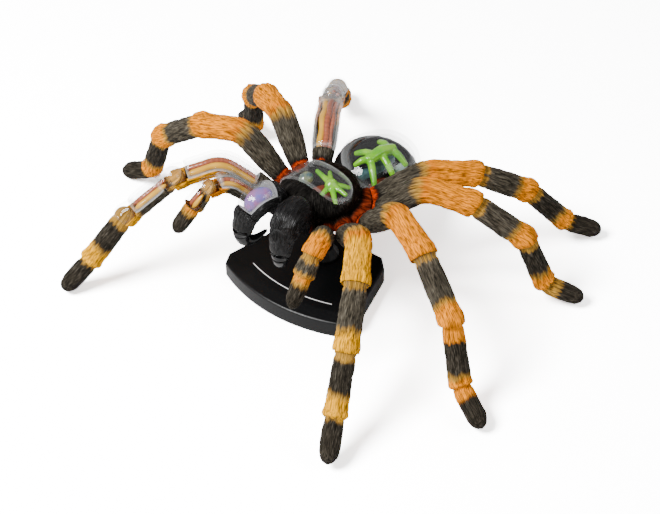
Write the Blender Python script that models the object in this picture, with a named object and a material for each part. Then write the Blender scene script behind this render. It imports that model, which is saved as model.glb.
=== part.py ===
"""Tarantula anatomy model on a display stand.

A table-top kit: a black fan-shaped stand carries a tarantula whose eight legs, two feelers and two
jaws turn on round pegs. Two legs, one feeler, one jaw, the back and the belly have clear covers that
lift off over muscles, glands and gut.

Frame: origin on the table under the stand's post, +Z up, the head faces -Y, the model's left is +X.
Every size below is in millimetres; MM turns it into metres where a mesh or an empty is made.
"""

import math

import bmesh
import bpy
from mathutils import Matrix, Vector

MM = 0.001

# ---- driving dimensions -------------------------------------------------------------------------
GAP = 0.35  # clearance between neighbouring pieces
LEG_SIDES = 10  # facets round a leg
BALL_PLAY = 0.5  # a socket's radius over its ball's, for the facets

# stand
STAND_TURN = 4.5  # degrees the base is turned under the model
STAND_FRONT_HALF = 30.5
STAND_FRONT_Y = -29.5
STAND_ARC_DEPTH = 7.0
STAND_BACK_HALF = 24.2
STAND_BACK_Y = 10.5
STAND_CHAMFER = 4.5
STAND_FRONT_CUT = (1.6, 4.5)
STAND_HEIGHT = 8.5
POST_Y = -3.0
POST_R = 4.2
POST_PEG_R = 2.6
POST_PEG_LEN = 3.6

# front body (prosoma)
SEAM_Z = 43.0  # top of the underside; the carapace starts a gap above it
BODY_Y = -4.5
BODY_HALF = (15.5, 15.5, 13.5)
BODY_HOLLOW = (11.0, 11.0, 8.0)
CARAPACE_HALF = (16.2, 16.0, 9.6)
CARAPACE_WALL = 1.5
WINDOW_TIP = 15.0  # how far the back window reaches down the left flank
WINDOW_HALF = 7.2
WINDOW_Y = -4.2
SOCKET_Z = 38.8  # height of every leg's peg
COXA_R = 3.8
PEG_R = 1.8
PEG_PLAY = 0.3
PEG_LEN = 4.0

# belly (abdomen)
BELLY_CENTRE = (0.0, 29.7, 33.0)
BELLY_HALF = (16.4, 20.0, 15.0)
BELLY_WALL = 1.4
BELLY_CUT_POINT = (0.0, 29.7, 37.0)
BELLY_CUT_NORMAL = (0.33, 0.23, 0.915)  # the clear top leans over to the left flank
WINDOW_PROUD = 0.6
NECK_Z = 38.0
NECK_R = 2.2
NECK_REACH = 9.5

# legs: length of femur, patella, tibia, metatarsus and tarsus at scale 1
LEG_LENGTHS = (23.5, 21.5, 27.0, 26.5, 18.0)
TROCHANTER = 2.5  # from the peg's shoulder to the femur's bend
FEMUR_R = 5.0
PATELLA_R = 5.2
TIBIA_R = 4.7
METATARSUS_R = 4.3
TARSUS_R = 3.9
MOUTH = 0.5  # how far a collar's lip stands past the ball's centre
SHOULDER = 2.7  # where the full section starts past the ball's centre
KNEE_BALL = 4.3  # ball where the tibia meets the patella
ANKLE_BALL = 3.9  # ball where the metatarsus meets the tibia
COLLAR_WALL = 0.75
STUB_LEN = 7.0
COVER_WALL = 1.0
COVER_SEAT = 1.3  # wall left under and beside a cover
COVER_EDGE = 0.2  # height of the cut above a section's axis

# each pair: hip place, heading from +X, pitch of the five sections, sideways bend at the knee, scale
LEG_PAIRS = {
    1: {"hip": (20.8, -12.8), "heading": -42, "bend": -10, "pitch": (38, -13, -37, -51, -45), "scale": 0.95},
    2: {"hip": (23.0, -2.7), "heading": -8, "bend": -8, "pitch": (45, -13, -35, -67, -25), "scale": 1.0},
    3: {"hip": (21.3, 6.9), "heading": 31, "bend": -4, "pitch": (39, -13, -35, -69, -20), "scale": 0.95},
    4: {"hip": (14.8, 13.0), "heading": 54, "bend": 0, "pitch": (20, -12, -29, -48, -26), "scale": 0.95},
}
# how far each leg is turned from its pair's heading, and on its peg
LEG_SET = {
    ("left", 1): (2, -12), ("right", 1): (-2, -6),
    ("left", 2): (-3, -4), ("right", 2): (3, 8),
    ("left", 3): (2, 3), ("right", 3): (-2, 6),
    ("left", 4): (0, -5), ("right", 4): (0, -1),
}
CLEAR_LEGS = (("right", 1), ("right", 4))

# feelers (pedipalps)
PALP_HIP = (15.2, -19.2)
PALP_HEADING = -54
PALP_BEND = -14
PALP_PITCH = (42, -3, -48, -51)
PALP_LENGTHS = (19.0, 9.5, 9.5, 13.0)
PALP_SET = {"left": (-3, -10), "right": (3, -4)}
PALP_R = 4.2
PALP_BALL = 3.2
PALP_COXA_R = 3.4

# jaws (chelicerae) and fangs, for the left; the right is its mirror image
JAW_PEG = (6.0, -20.8, 39.2)
JAW_STUB_R = 3.3
JAW_PATH = ((6.3, -22.4, 46.4), (7.0, -25.6, 51.0), (8.3, -31.4, 51.2), (9.5, -35.8, 47.0))
JAW_RADII = (5.2, 6.2, 6.1, 5.1)
JAW_CUT_ROLL = 25  # degrees the clear cover of the right jaw leans outwards
FANG_HINGE = (10.1, -37.6, 42.2)
FANG_BALL = 3.1
FANG_PATH = ((10.2, -38.5, 38.2), (9.6, -37.5, 35.2), (8.0, -33.6, 34.0), (6.4, -29.0, 36.0))
FANG_RADII = (3.0, 2.6, 1.8, 0.7)

COLOURS = {
    "black_plastic": ((0.012, 0.012, 0.014), 0.45, 1.0),
    "black_fur": ((0.02, 0.02, 0.018), 0.6, 1.0),
    "leg_fur": ((0.75, 0.33, 0.05), 0.6, 1.0),
    "claw": ((0.015, 0.015, 0.017), 0.25, 1.0),
    "clear": ((0.92, 0.93, 0.95), 0.06, 0.25),
    "muscle": ((0.85, 0.6, 0.18), 0.4, 1.0),
    "gut_green": ((0.32, 0.68, 0.04), 0.35, 1.0),
    "gland_teal": ((0.05, 0.16, 0.18), 0.3, 1.0),
    "gland_pale": ((0.6, 0.75, 0.75), 0.3, 1.0),
    "gland_purple": ((0.33, 0.22, 0.62), 0.3, 1.0),
    "organ_red": ((0.3, 0.05, 0.02), 0.35, 1.0),
    "organ_yellow": ((0.62, 0.6, 0.12), 0.4, 1.0),
}

UP = Vector((0, 0, 1))


# ---- materials, objects and empties -------------------------------------------------------------
def material(name):
    found = bpy.data.materials.get(name)
    if found:
        return found
    colour, roughness, alpha = COLOURS[name]
    made = bpy.data.materials.new(name)
    made.use_nodes = True
    shader = made.node_tree.nodes["Principled BSDF"]
    shader.inputs["Base Color"].default_value = (*colour, 1.0)
    shader.inputs["Roughness"].default_value = roughness
    shader.inputs["Metallic"].default_value = 0.0
    shader.inputs["Alpha"].default_value = alpha
    return made


def add_object(name, mesh_data, slot, parent=None, at=(0, 0, 0)):
    """An object from (points, faces) in millimetres, its points counted from `at` in its parent's axes."""
    points, faces = mesh_data
    mesh = bpy.data.meshes.new(name)
    mesh.from_pydata([tuple((Vector(p) - Vector(at)) * MM) for p in points], [], faces)
    mesh.validate()
    shape = bmesh.new()
    shape.from_mesh(mesh)
    bmesh.ops.recalc_face_normals(shape, faces=shape.faces)
    shape.to_mesh(mesh)
    shape.free()
    mesh.shade_smooth()
    mesh.set_sharp_from_angle(angle=math.radians(40))
    made = bpy.data.objects.new(name, mesh)
    bpy.context.scene.collection.objects.link(made)
    made.data.materials.append(material(slot))
    made.parent = parent
    made.location = Vector(at) * MM
    return made


def add_empty(name, at, heading=0.0, swivel=0.0):
    """An empty whose +X points along heading, turned by swivel about that +X, both in degrees."""
    made = bpy.data.objects.new(name, None)
    bpy.context.scene.collection.objects.link(made)
    turn = Matrix.Rotation(math.radians(heading), 4, "Z") @ Matrix.Rotation(math.radians(swivel), 4, "X")
    made.matrix_world = Matrix.Translation(Vector(at) * MM) @ turn
    return made


def helper(name, mesh_data, parent=None):
    """A cutter: drawn as wire and left out of the build."""
    made = add_object(name, mesh_data, "clear", parent)
    made.hide_render = True
    made.display_type = "WIRE"
    return made


def boolean(target, other, operation):
    cut = target.modifiers.new(operation.lower() + "_" + other.name, "BOOLEAN")
    cut.operation = operation
    cut.object = other
    cut.solver = "EXACT"
    cut.use_self = True


# ---- shapes -------------------------------------------------------------------------------------
def across(axis):
    """Two directions at right angles to axis; the first is level unless axis is upright."""
    level = UP.cross(axis)
    if level.length < 1e-3:
        level = Vector((0, 1, 0))
    level.normalize()
    return level, axis.cross(level).normalized()


def leaning(axis, roll):
    """The level and upward directions across an axis, turned about it by roll degrees."""
    level, rise = across(axis)
    c, s = math.cos(math.radians(roll)), math.sin(math.radians(roll))
    return level * c + rise * s, rise * c - level * s


def ring(centre, axis, radius, sides=LEG_SIDES, flat=1.0):
    """A circle of points; flat squeezes it along its second direction."""
    one, two = across(Vector(axis).normalized())
    step = 2 * math.pi / sides
    return [
        Vector(centre) + radius * (one * math.cos(i * step) + two * flat * math.sin(i * step))
        for i in range(sides)
    ]


def loft(rings, first_tip=None, last_tip=None):
    """A closed skin over rings of equal count. An end is a fan to its tip, or one flat face."""
    count = len(rings[0])
    points = [p for one in rings for p in one]
    faces = []
    for j in range(len(rings) - 1):
        low, high = j * count, (j + 1) * count
        for i in range(count):
            k = (i + 1) % count
            faces.append((low + i, low + k, high + k, high + i))
    for tip, start in ((first_tip, 0), (last_tip, (len(rings) - 1) * count)):
        if tip is None:
            faces.append(tuple(range(start, start + count)))
            continue
        points.append(Vector(tip))
        apex = len(points) - 1
        faces += [(start + i, start + (i + 1) % count, apex) for i in range(count)]
    return points, faces


def together(*parts):
    """Several separate skins in one mesh."""
    points, faces = [], []
    for more_points, more_faces in parts:
        shift = len(points)
        points += more_points
        faces += [tuple(i + shift for i in face) for face in more_faces]
    return points, faces


def turned(profile, centre=(0, 0, 0), sides=20):
    """A solid turned about an upright axis from (radius, height) pairs, low to high, with flat ends."""
    return loft([ring(Vector(centre) + UP * z, UP, r, sides) for r, z in profile])


def prism(outline, low, high):
    """An upright solid from a level outline."""
    return loft([[Vector((x, y, z)) for x, y in outline] for z in (low, high)])


def ellipsoid(centre, half, rows=7, sides=20):
    """A closed ellipsoid of turned rings between two poles."""
    rings = []
    for j in range(1, rows):
        lat = -math.pi / 2 + math.pi * j / rows
        rings.append(
            [
                Vector(centre)
                + Vector(
                    (
                        half[0] * math.cos(lat) * math.cos(2 * math.pi * i / sides),
                        half[1] * math.cos(lat) * math.sin(2 * math.pi * i / sides),
                        half[2] * math.sin(lat),
                    )
                )
                for i in range(sides)
            ]
        )
    foot, top = Vector(centre) - UP * half[2], Vector(centre) + UP * half[2]
    return loft(rings, foot, top)


def smooth_path(points, radii, steps):
    """Catmull-Rom points and radii through the given ones."""
    points = [Vector(p) for p in points]
    ends = [2 * points[0] - points[1], *points, 2 * points[-1] - points[-2]]
    out, sizes = [], []
    for j in range(1, len(ends) - 2):
        for i in range(steps):
            t = i / steps
            a, b, c, d = ends[j - 1 : j + 3]
            curve = (2 * a - 5 * b + 4 * c - d) * t**2 + (3 * b - 3 * c + d - a) * t**3
            out.append(0.5 * (2 * b + (c - a) * t + curve))
            sizes.append(radii[j - 1] * (1 - t) + radii[j] * t)
    return out + [points[-1]], sizes + [radii[-1]]


def path_axes(path):
    """The direction of a path at each of its points."""
    axes = []
    for i in range(len(path)):
        before, after = path[max(i - 1, 0)], path[min(i + 1, len(path) - 1)]
        axes.append((after - before).normalized())
    return axes


def tube(points, radii, steps=2, sides=8, flat=1.0):
    """A round bar along a smooth path, with domed ends."""
    path, sizes = smooth_path(points, radii, steps)
    axes = path_axes(path)
    rings = [ring(p, a, r, sides, flat) for p, a, r in zip(path, axes, sizes)]
    first = path[0] - axes[0] * sizes[0] * 0.5
    last = path[-1] + axes[-1] * sizes[-1] * 0.5
    return loft(rings, first, last)


# ---- jointed sections ---------------------------------------------------------------------------
def ball_rings(centre, axis, radius):
    """A ball from beside its pole to the neck in front of it."""
    rings = []
    for angle in (35, 65, 95, 120):
        a = math.radians(angle)
        rings.append(ring(centre - axis * radius * math.cos(a), axis, radius * math.sin(a)))
    return rings


def collar_rings(centre, back, ahead, ball):
    """A collar whose mouth faces `ahead`, and the round socket inside it, with the socket's pole."""
    socket = ball + BALL_PLAY
    outer = socket + COLLAR_WALL
    lean = (back + ahead).normalized()
    lip = centre + ahead * MOUTH
    rings = [
        ring(centre - back * 5.0, back, outer * 0.93),
        ring(centre - lean * 2.4, lean, outer),
        ring(lip, ahead, outer),
        ring(lip, ahead, math.sqrt(socket**2 - MOUTH**2)),
    ]
    for angle in (60, 30):
        a = math.radians(angle)
        rings.append(ring(centre - ahead * socket * math.cos(a), ahead, socket * math.sin(a)))
    return rings, centre - ahead * socket


def bend_rings(corner, back, ahead, radius, reach=3.0):
    """Three rings that carry a tube round a corner."""
    lean = (back + ahead).normalized()
    return [
        ring(corner - back * reach, back, radius),
        ring(corner, lean, radius * 1.04),
        ring(corner + ahead * reach, ahead, radius),
    ]


class Limb:
    """The sections of a leg or feeler in its hip's axes: +X outwards, +Z up before the swivel."""

    def __init__(self, lengths, pitches, bend=0.0):
        self.points = [Vector((0, 0, 0))]
        self.axes = []
        for i, (length, pitch) in enumerate(zip(lengths, pitches)):
            heading = math.radians(bend if i else 0)
            rise = math.radians(pitch)
            level = math.cos(rise)
            axis = Vector((level * math.cos(heading), level * math.sin(heading), math.sin(rise)))
            self.axes.append(axis)
            self.points.append(self.points[-1] + axis * length)

    def upper(self, femur_r, patella_r, coxa_r, ball):
        """Peg, trochanter, femur, and patella with its collar."""
        out = Vector((1, 0, 0))
        hip, knee, cup = self.points[:3]
        femur, patella, tibia = self.axes[:3]
        shoulder = hip - out * TROCHANTER
        rings = [
            ring(shoulder - out * PEG_LEN, out, PEG_R),
            ring(shoulder, out, PEG_R),
            ring(shoulder, out, coxa_r - 0.5),
            ring(hip - out, out, coxa_r),
            ring(hip + femur * 4.0, femur, femur_r * 0.84),
            ring(hip + femur * 10.0, femur, femur_r),
            *bend_rings(knee, femur, patella, patella_r),
        ]
        cup_rings, pole = collar_rings(cup, patella, tibia, ball)
        return loft(rings + cup_rings, None, pole)

    def middle(self, radius, ball, next_ball):
        """Ball, tibia and its collar."""
        knee, ankle = self.points[2:4]
        axis, after = self.axes[2:4]
        half_way = (knee + ankle) / 2
        rings = ball_rings(knee, axis, ball)
        rings += [ring(knee + axis * SHOULDER, axis, radius), ring(half_way, axis, radius)]
        cup_rings, pole = collar_rings(ankle, axis, after, next_ball)
        return loft(rings + cup_rings, knee - axis * ball, pole)

    def end(self, first, radius, last_radius, ball):
        """Ball, two sections and the rounded tip."""
        start, corner, tip = self.points[first : first + 3]
        axis, after = self.axes[first : first + 2]
        rings = ball_rings(start, axis, ball) + [
            ring(start + axis * SHOULDER, axis, radius),
            *bend_rings(corner, axis, after, last_radius + 0.4, 2.5),
            ring(tip - after * 5.0, after, last_radius * 0.94),
            ring(tip - after * 1.2, after, last_radius * 0.6),
        ]
        return loft(rings, start - axis * ball, tip)


def trough_outline(inner, edge, reach):
    """Cross-section of the room under a clear cover: open above, round below."""
    steps = 6
    arc = [
        (-inner * math.cos(math.pi * i / steps), edge - inner * math.sin(math.pi * i / steps))
        for i in range(steps + 1)
    ]
    return [(-reach, edge), *arc, (reach, edge), (reach, edge + reach), (-reach, edge + reach)]


def half_round(radius, edge):
    """Points over the upper half of a circle that stands on `edge`, from one side to the other."""
    steps = 6
    return [
        (radius * math.cos(math.pi * i / steps), edge + radius * math.sin(math.pi * i / steps))
        for i in range(steps + 1)
    ]


def bar_outline(width, height):
    """An oval cross-section."""
    return [(width * math.cos(math.pi * i / 4), height * math.sin(math.pi * i / 4)) for i in range(8)]


def swept(path, axes, outlines, roll=0.0):
    """A solid whose cross-sections, as (level, upward) offsets turned by roll, stand across a path."""
    rings = []
    for centre, axis, outline in zip(path, axes, outlines):
        level, rise = leaning(axis, roll)
        rings.append([centre + level * x + rise * y for x, y in outline])
    return loft(rings)


class CutAway:
    """A stretch with a clear cover: the room cut for it, the cover and the muscle or gland under it."""

    def __init__(self, path, axes, radii, roll=0.0):
        self.path = [Vector(p) for p in path]
        self.axes = axes
        self.radii = radii
        self.roll = roll

    def stretch(self, short):
        """The path with both ends drawn in by `short`."""
        path = list(self.path)
        path[0] = path[0] + self.axes[0] * short
        path[-1] = path[-1] - self.axes[-1] * short
        return path

    def room(self):
        outlines = [trough_outline(r - COVER_SEAT, COVER_EDGE, r + 4.0) for r in self.radii]
        return swept(self.path, self.axes, outlines, self.roll)

    def cover(self):
        edge = COVER_EDGE + GAP
        outlines = [half_round(r, edge) + half_round(r - COVER_WALL, edge)[::-1] for r in self.radii]
        return swept(self.stretch(GAP), self.axes, outlines, self.roll)

    def filling(self):
        outlines = [bar_outline(r - COVER_SEAT - 0.7, (r - COVER_SEAT) * 0.62) for r in self.radii]
        return swept(self.stretch(1.2), self.axes, outlines, self.roll)


def upper_cutaway(limb, femur_r, patella_r):
    """The clear stretch over a femur and patella."""
    hip, knee, cup = limb.points[:3]
    femur, patella = limb.axes[:2]
    lean = (femur + patella).normalized()
    path = [hip + femur * 6.0, knee - femur * 3.0, knee, knee + patella * 3.0, cup - patella * 5.6]
    return CutAway(path, [femur, femur, lean, patella, patella], [femur_r, *[patella_r] * 4])


def tibia_cutaway(limb):
    """The clear stretch over a tibia."""
    knee, ankle = limb.points[2:4]
    axis = limb.axes[2]
    path = [knee + axis * 4.4, (knee + ankle) / 2, ankle - axis * 5.6]
    return CutAway(path, [axis] * 3, [TIBIA_R] * 3)


def add_cutaway(cutaway, host, name, at, slots=("clear", "muscle")):
    """Cut the room from the host and add its cover and filling."""
    cover_slot, filling_slot = slots
    parent = host.parent
    boolean(host, helper("cut_" + name, cutaway.room(), parent), "DIFFERENCE")
    add_object(name + "_cover", cutaway.cover(), cover_slot, parent, at)
    add_object(name + "_" + filling_slot, cutaway.filling(), filling_slot, parent, at)


# ---- where the limbs plug in --------------------------------------------------------------------
def hip_frame(hip, heading, turn, swivel, side):
    """World place, heading and swivel of a hip given for the left; the right is its mirror image."""
    if side == "left":
        return Vector((*hip, SOCKET_Z)), heading + turn, swivel
    return Vector((-hip[0], hip[1], SOCKET_Z)), 180 - heading - turn, -swivel


def hips():
    """Frames of the eight legs and two feelers by name."""
    frames = {}
    for (side, number), (turn, swivel) in LEG_SET.items():
        pair = LEG_PAIRS[number]
        frames[f"leg_{side}_{number}"] = hip_frame(pair["hip"], pair["heading"], turn, swivel, side)
    for side, (turn, swivel) in PALP_SET.items():
        frames[f"palp_{side}"] = hip_frame(PALP_HIP, PALP_HEADING, turn, swivel, side)
    return frames


def plug_lines():
    """(end point, outward direction, stub radius) of every plug: legs, feelers and jaws."""
    lines = []
    for name, (point, heading, _) in hips().items():
        a = math.radians(heading)
        out = Vector((math.cos(a), math.sin(a), 0))
        radius = COXA_R if name.startswith("leg") else PALP_COXA_R
        lines.append((point - out * TROCHANTER, out, radius))
    for side in (1, -1):
        lines.append((mirrored(JAW_PEG, side), Vector((0, -1, 0)), JAW_STUB_R))
    return lines


def mirrored(point, side):
    return Vector((point[0] * side, point[1], point[2]))


def bars(lines):
    """Round bars from (start, direction, radius, length) in one mesh."""
    parts = []
    for start, direction, radius, length in lines:
        end = start + direction * length
        parts.append(loft([ring(start, direction, radius, 12), ring(end, direction, radius, 12)]))
    return together(*parts)


# ---- sub-assemblies -----------------------------------------------------------------------------
def stand_outline():
    """Curved front, straight sides drawing in to a straight back with its corners cut off."""
    radius = (STAND_FRONT_HALF**2 + STAND_ARC_DEPTH**2) / (2 * STAND_ARC_DEPTH)
    centre_y = STAND_FRONT_Y - STAND_ARC_DEPTH + radius
    reach = math.asin(STAND_FRONT_HALF / radius)
    steps = 12
    outline = []
    for i in range(steps + 1):
        a = reach * (2 * i / steps - 1)
        outline.append((radius * math.sin(a), centre_y - radius * math.cos(a)))
    cut_y = STAND_BACK_Y - STAND_CHAMFER
    cut_half = STAND_BACK_HALF - STAND_CHAMFER
    side = [(STAND_FRONT_HALF + STAND_FRONT_CUT[0], STAND_FRONT_Y + STAND_FRONT_CUT[1])]
    side += [(STAND_BACK_HALF, cut_y), (cut_half, STAND_BACK_Y)]
    outline += side + [(-x, y) for x, y in reversed(side)]
    turn = Matrix.Rotation(math.radians(STAND_TURN), 2)
    pivot = Vector((0, POST_Y))
    return [tuple(turn @ (Vector(p) - pivot) + pivot) for p in outline]


def build_stand():
    base = add_object("stand_base", prism(stand_outline(), 0.0, STAND_HEIGHT), "black_plastic")
    bore = [(POST_PEG_R + GAP, z) for z in (STAND_HEIGHT - POST_PEG_LEN - GAP, STAND_HEIGHT + 2.0)]
    boolean(base, helper("cut_post_hole", turned(bore, (0, POST_Y, 0), 16)), "DIFFERENCE")
    top = SEAM_Z - BODY_HALF[2]
    flange = STAND_HEIGHT + GAP
    post = [
        (POST_PEG_R, STAND_HEIGHT - POST_PEG_LEN),
        (POST_PEG_R, flange),
        (POST_R + 2.2, flange),
        (POST_R + 2.2, flange + 1.5),
        (POST_R, flange + 5.0),
        (POST_R, top - GAP),
        (POST_PEG_R, top - GAP),
        (POST_PEG_R, top + POST_PEG_LEN),
    ]
    add_object("stand_post", turned(post, (0, POST_Y, 0), 16), "black_plastic")


def half_space(point, normal):
    """A large block on the side of a plane that its normal points to."""
    direction = Vector(normal).normalized()
    return loft([ring(Vector(point) + direction * d, direction, 90, 4) for d in (0, 70)])


def build_underside():
    """The lower half of the front body: a bowl with a socket for every leg, feeler and jaw."""
    centre = Vector((0, BODY_Y, SEAM_Z))
    underside = add_object("body_underside", ellipsoid(centre, BODY_HALF, 8, 24), "black_fur")
    stubs, bores = [], []
    for end, out, radius in plug_lines():
        stubs.append((end - out * (GAP + STUB_LEN), out, radius, STUB_LEN))
        bores.append((end - out * (PEG_LEN + PEG_PLAY), out, PEG_R + PEG_PLAY, PEG_LEN + 3.0))
    boolean(underside, helper("plug_stubs", bars(stubs)), "UNION")
    boolean(underside, helper("cut_above_seam", half_space(centre, UP)), "DIFFERENCE")
    boolean(underside, helper("cut_body_hollow", ellipsoid(centre, BODY_HOLLOW, 6, 16)), "DIFFERENCE")
    boolean(underside, helper("cut_plug_bores", bars(bores)), "DIFFERENCE")
    foot = Vector((0, POST_Y, SEAM_Z - BODY_HALF[2] - 3.0))
    neck = Vector((0, BELLY_CENTRE[1] - BELLY_HALF[1] + 2.0, NECK_Z))
    others = [
        (foot, UP, POST_PEG_R + GAP, 3.0 + POST_PEG_LEN + GAP),
        (neck, Vector((0, -1, 0)), NECK_R + GAP, NECK_REACH),
    ]
    boolean(underside, helper("cut_post_and_neck", bars(others)), "DIFFERENCE")


def dome(centre, half, wall, rows, sides):
    """A hollow half ellipsoid that stands on its rim, as one skin: inside down to the rim, outside up."""
    rings = []
    for j in range(1, rows + 1):
        lat = math.pi / 2 * (1 - j / rows)
        rings.append(level_oval(centre, [h - wall for h in half], lat, sides))
    for j in range(rows, 0, -1):
        lat = math.pi / 2 * (1 - j / rows)
        rings.append(level_oval(centre, half, lat, sides))
    return loft(rings, centre + UP * (half[2] - wall), centre + UP * half[2])


def level_oval(centre, half, lat, sides):
    """The ring of an ellipsoid at a latitude."""
    step = 2 * math.pi / sides
    return [
        centre
        + Vector(
            (
                half[0] * math.cos(lat) * math.cos(i * step),
                half[1] * math.cos(lat) * math.sin(i * step),
                half[2] * math.sin(lat),
            )
        )
        for i in range(sides)
    ]


def window_outline(inset):
    """The back window from above: open at the right rim, round at the left flank."""
    reach = WINDOW_HALF - inset
    middle = WINDOW_TIP - WINDOW_HALF
    steps = 8
    tip = []
    for i in range(steps + 1):
        a = math.pi * (i / steps - 0.5)
        tip.append((middle + reach * math.cos(a), WINDOW_Y + reach * math.sin(a)))
    return [(-30.0, WINDOW_Y - reach), *tip, (-30.0, WINDOW_Y + reach)]


def build_carapace():
    centre = Vector((0, BODY_Y, SEAM_Z + GAP))
    skin = dome(centre, CARAPACE_HALF, CARAPACE_WALL, 5, 24)
    shell = add_object("carapace_shell", skin, "black_fur")
    opening = prism(window_outline(0.0), SEAM_Z - 2.0, SEAM_Z + 20.0)
    boolean(shell, helper("cut_back_window", opening), "DIFFERENCE")
    window = add_object("carapace_window", skin, "clear")
    filling = prism(window_outline(GAP), SEAM_Z - 2.0, SEAM_Z + 20.0)
    boolean(window, helper("keep_back_window", filling), "INTERSECT")


def build_front_organs():
    """Stomach with its side pouches, brain, gland and the muscle they lie on."""
    heart = Vector((2.8, -0.6, 46.2))
    stomach = add_object("stomach", ellipsoid(heart, (2.8, 3.0, 2.8), 6, 12), "gut_green")
    pouches = []
    for x, y, z in ((11.0, -0.8, 45.4), (11.2, -7.4, 45.0), (4.0, -8.2, 46.0), (8.8, 4.0, 45.0),
                    (-7.8, 2.4, 46.0), (-3.6, 5.6, 45.6)):
        end = Vector((x, y, z))
        pouches.append(tube([heart, (heart + end) / 2 + UP * 0.3, end], (1.5, 1.3, 1.0), 2, 6))
    boolean(stomach, helper("stomach_pouches", together(*pouches)), "UNION")
    add_object("brain", ellipsoid((-8.2, -3.4, 45.4), (2.9, 3.6, 2.6), 6, 12), "muscle")
    add_object("front_gland", ellipsoid((-2.6, -8.6, 45.6), (2.6, 2.0, 2.6), 6, 12), "gland_teal")
    add_object("front_muscle", ellipsoid((1.0, -3.0, 40.6), (7.6, 7.4, 1.7), 6, 16), "organ_red")


def grown(half, by):
    return [h + by for h in half]


def build_belly():
    """The belly's black shell with its neck, and the clear top."""
    centre = Vector(BELLY_CENTRE)
    normal = Vector(BELLY_CUT_NORMAL).normalized()
    cut = Vector(BELLY_CUT_POINT)
    shell = add_object("belly_shell", ellipsoid(centre, BELLY_HALF, 10, 24), "black_fur")
    neck_start = Vector((0, centre.y - BELLY_HALF[1] + 3.0, NECK_Z))
    neck = bars([(neck_start, Vector((0, -1, 0)), NECK_R, NECK_REACH - 1.5)])
    boolean(shell, helper("belly_neck", neck), "UNION")
    hollow = helper("cut_belly_hollow", ellipsoid(centre, grown(BELLY_HALF, -BELLY_WALL), 8, 20))
    boolean(shell, hollow, "DIFFERENCE")
    boolean(shell, helper("cut_belly_top", half_space(cut, normal)), "DIFFERENCE")
    window = add_object("belly_window", ellipsoid(centre, grown(BELLY_HALF, WINDOW_PROUD), 10, 24), "clear")
    boolean(window, hollow, "DIFFERENCE")
    below = helper("cut_belly_bottom", half_space(cut + normal * GAP, -normal))
    boolean(window, below, "DIFFERENCE")


def build_belly_organs():
    """Gut with its branches, silk gland, ovary, hind gut and book lung."""
    trunk = tube([(0.6, 24.0, 42.2), (1.6, 31.0, 43.0), (3.4, 37.0, 41.8)], (2.4, 2.9, 2.4))
    gut = add_object("gut_tree", trunk, "gut_green")
    arms = []
    for start, end in (
        ((2.8, 35.5, 42.2), (10.8, 36.0, 37.6)),
        ((1.6, 30.5, 42.8), (12.2, 27.4, 36.0)),
        ((0.9, 25.0, 42.2), (8.7, 18.7, 36.4)),
        ((0.6, 24.5, 42.2), (-3.0, 19.8, 40.2)),
        ((1.0, 28.0, 42.6), (-8.0, 26.0, 40.0)),
        ((2.4, 35.0, 42.2), (-6.0, 38.4, 39.6)),
    ):
        start, end = Vector(start), Vector(end)
        arms.append(tube([start, (start + end) / 2 + UP * 1.2, end], (1.7, 1.6, 1.2)))
    boolean(gut, helper("gut_branches", together(*arms)), "UNION")
    silk_path = [(-1.0, 21.0, 34.8), (1.2, 28.5, 35.6), (0.6, 38.0, 34.8)]
    add_object("silk_gland", tube(silk_path, (2.7, 3.4, 2.8)), "gland_teal")
    add_object("ovary", tube([(8.2, 31.8, 34.2), (7.4, 38.4, 33.8)], (2.7, 2.3)), "gland_pale")
    hind_path = [(4.6, 20.6, 31.8), (5.4, 25.0, 32.0), (5.4, 29.0, 31.0)]
    add_object("hind_gut", tube(hind_path, (1.8, 2.1, 1.8)), "organ_red")
    add_object("book_lung", ellipsoid((10.4, 22.8, 33.8), (2.1, 2.8, 2.8), 6, 12), "organ_yellow")


def jaw_path(side):
    return [mirrored(p, side) for p in JAW_PATH]


def build_jaw(side, name):
    """A jaw on its peg with the fang's socket, and the fang with its ball."""
    peg = mirrored(JAW_PEG, side)
    out = Vector((0, -1, 0))
    path, sizes = smooth_path(jaw_path(side), JAW_RADII, 2)
    axes = path_axes(path)
    hinge = mirrored(FANG_HINGE, side)
    fang_path, fang_sizes = smooth_path([mirrored(p, side) for p in FANG_PATH], FANG_RADII, 2)
    ahead = (fang_path[0] - hinge).normalized()
    rings = [
        ring(peg - out * PEG_LEN, out, PEG_R),
        ring(peg, out, PEG_R),
        ring(peg, out, JAW_STUB_R),
        *[ring(p, a, r) for p, a, r in zip(path, axes, sizes)],
    ]
    cup_rings, pole = collar_rings(hinge, (hinge - path[-1]).normalized(), ahead, FANG_BALL)
    jaw = add_object("jaw_" + name, loft(rings + cup_rings[1:], None, pole), "black_fur", at=peg)
    fang_rings = ball_rings(hinge, ahead, FANG_BALL)
    for p, a, r in zip(fang_path, path_axes(fang_path), fang_sizes):
        fang_rings.append(ring(p, a, r))
    tip = fang_path[-1] + (fang_path[-1] - fang_path[-2]).normalized()
    add_object("fang_" + name, loft(fang_rings, hinge - ahead * FANG_BALL, tip), "claw", at=hinge)
    if name == "right":
        end = path[6] - axes[6] * 1.2
        radii = [r - 0.2 for r in sizes[2:6]] + [sizes[6] - 0.4]
        stretch = CutAway([*path[2:6], end], axes[2:7], radii, JAW_CUT_ROLL)
        boolean(jaw, helper("cut_jaw_right", stretch.room()), "DIFFERENCE")
        add_object("jaw_right_window", stretch.cover(), "clear", at=peg)
        add_object("venom_gland", stretch.filling(), "gland_purple", at=peg)


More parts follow.
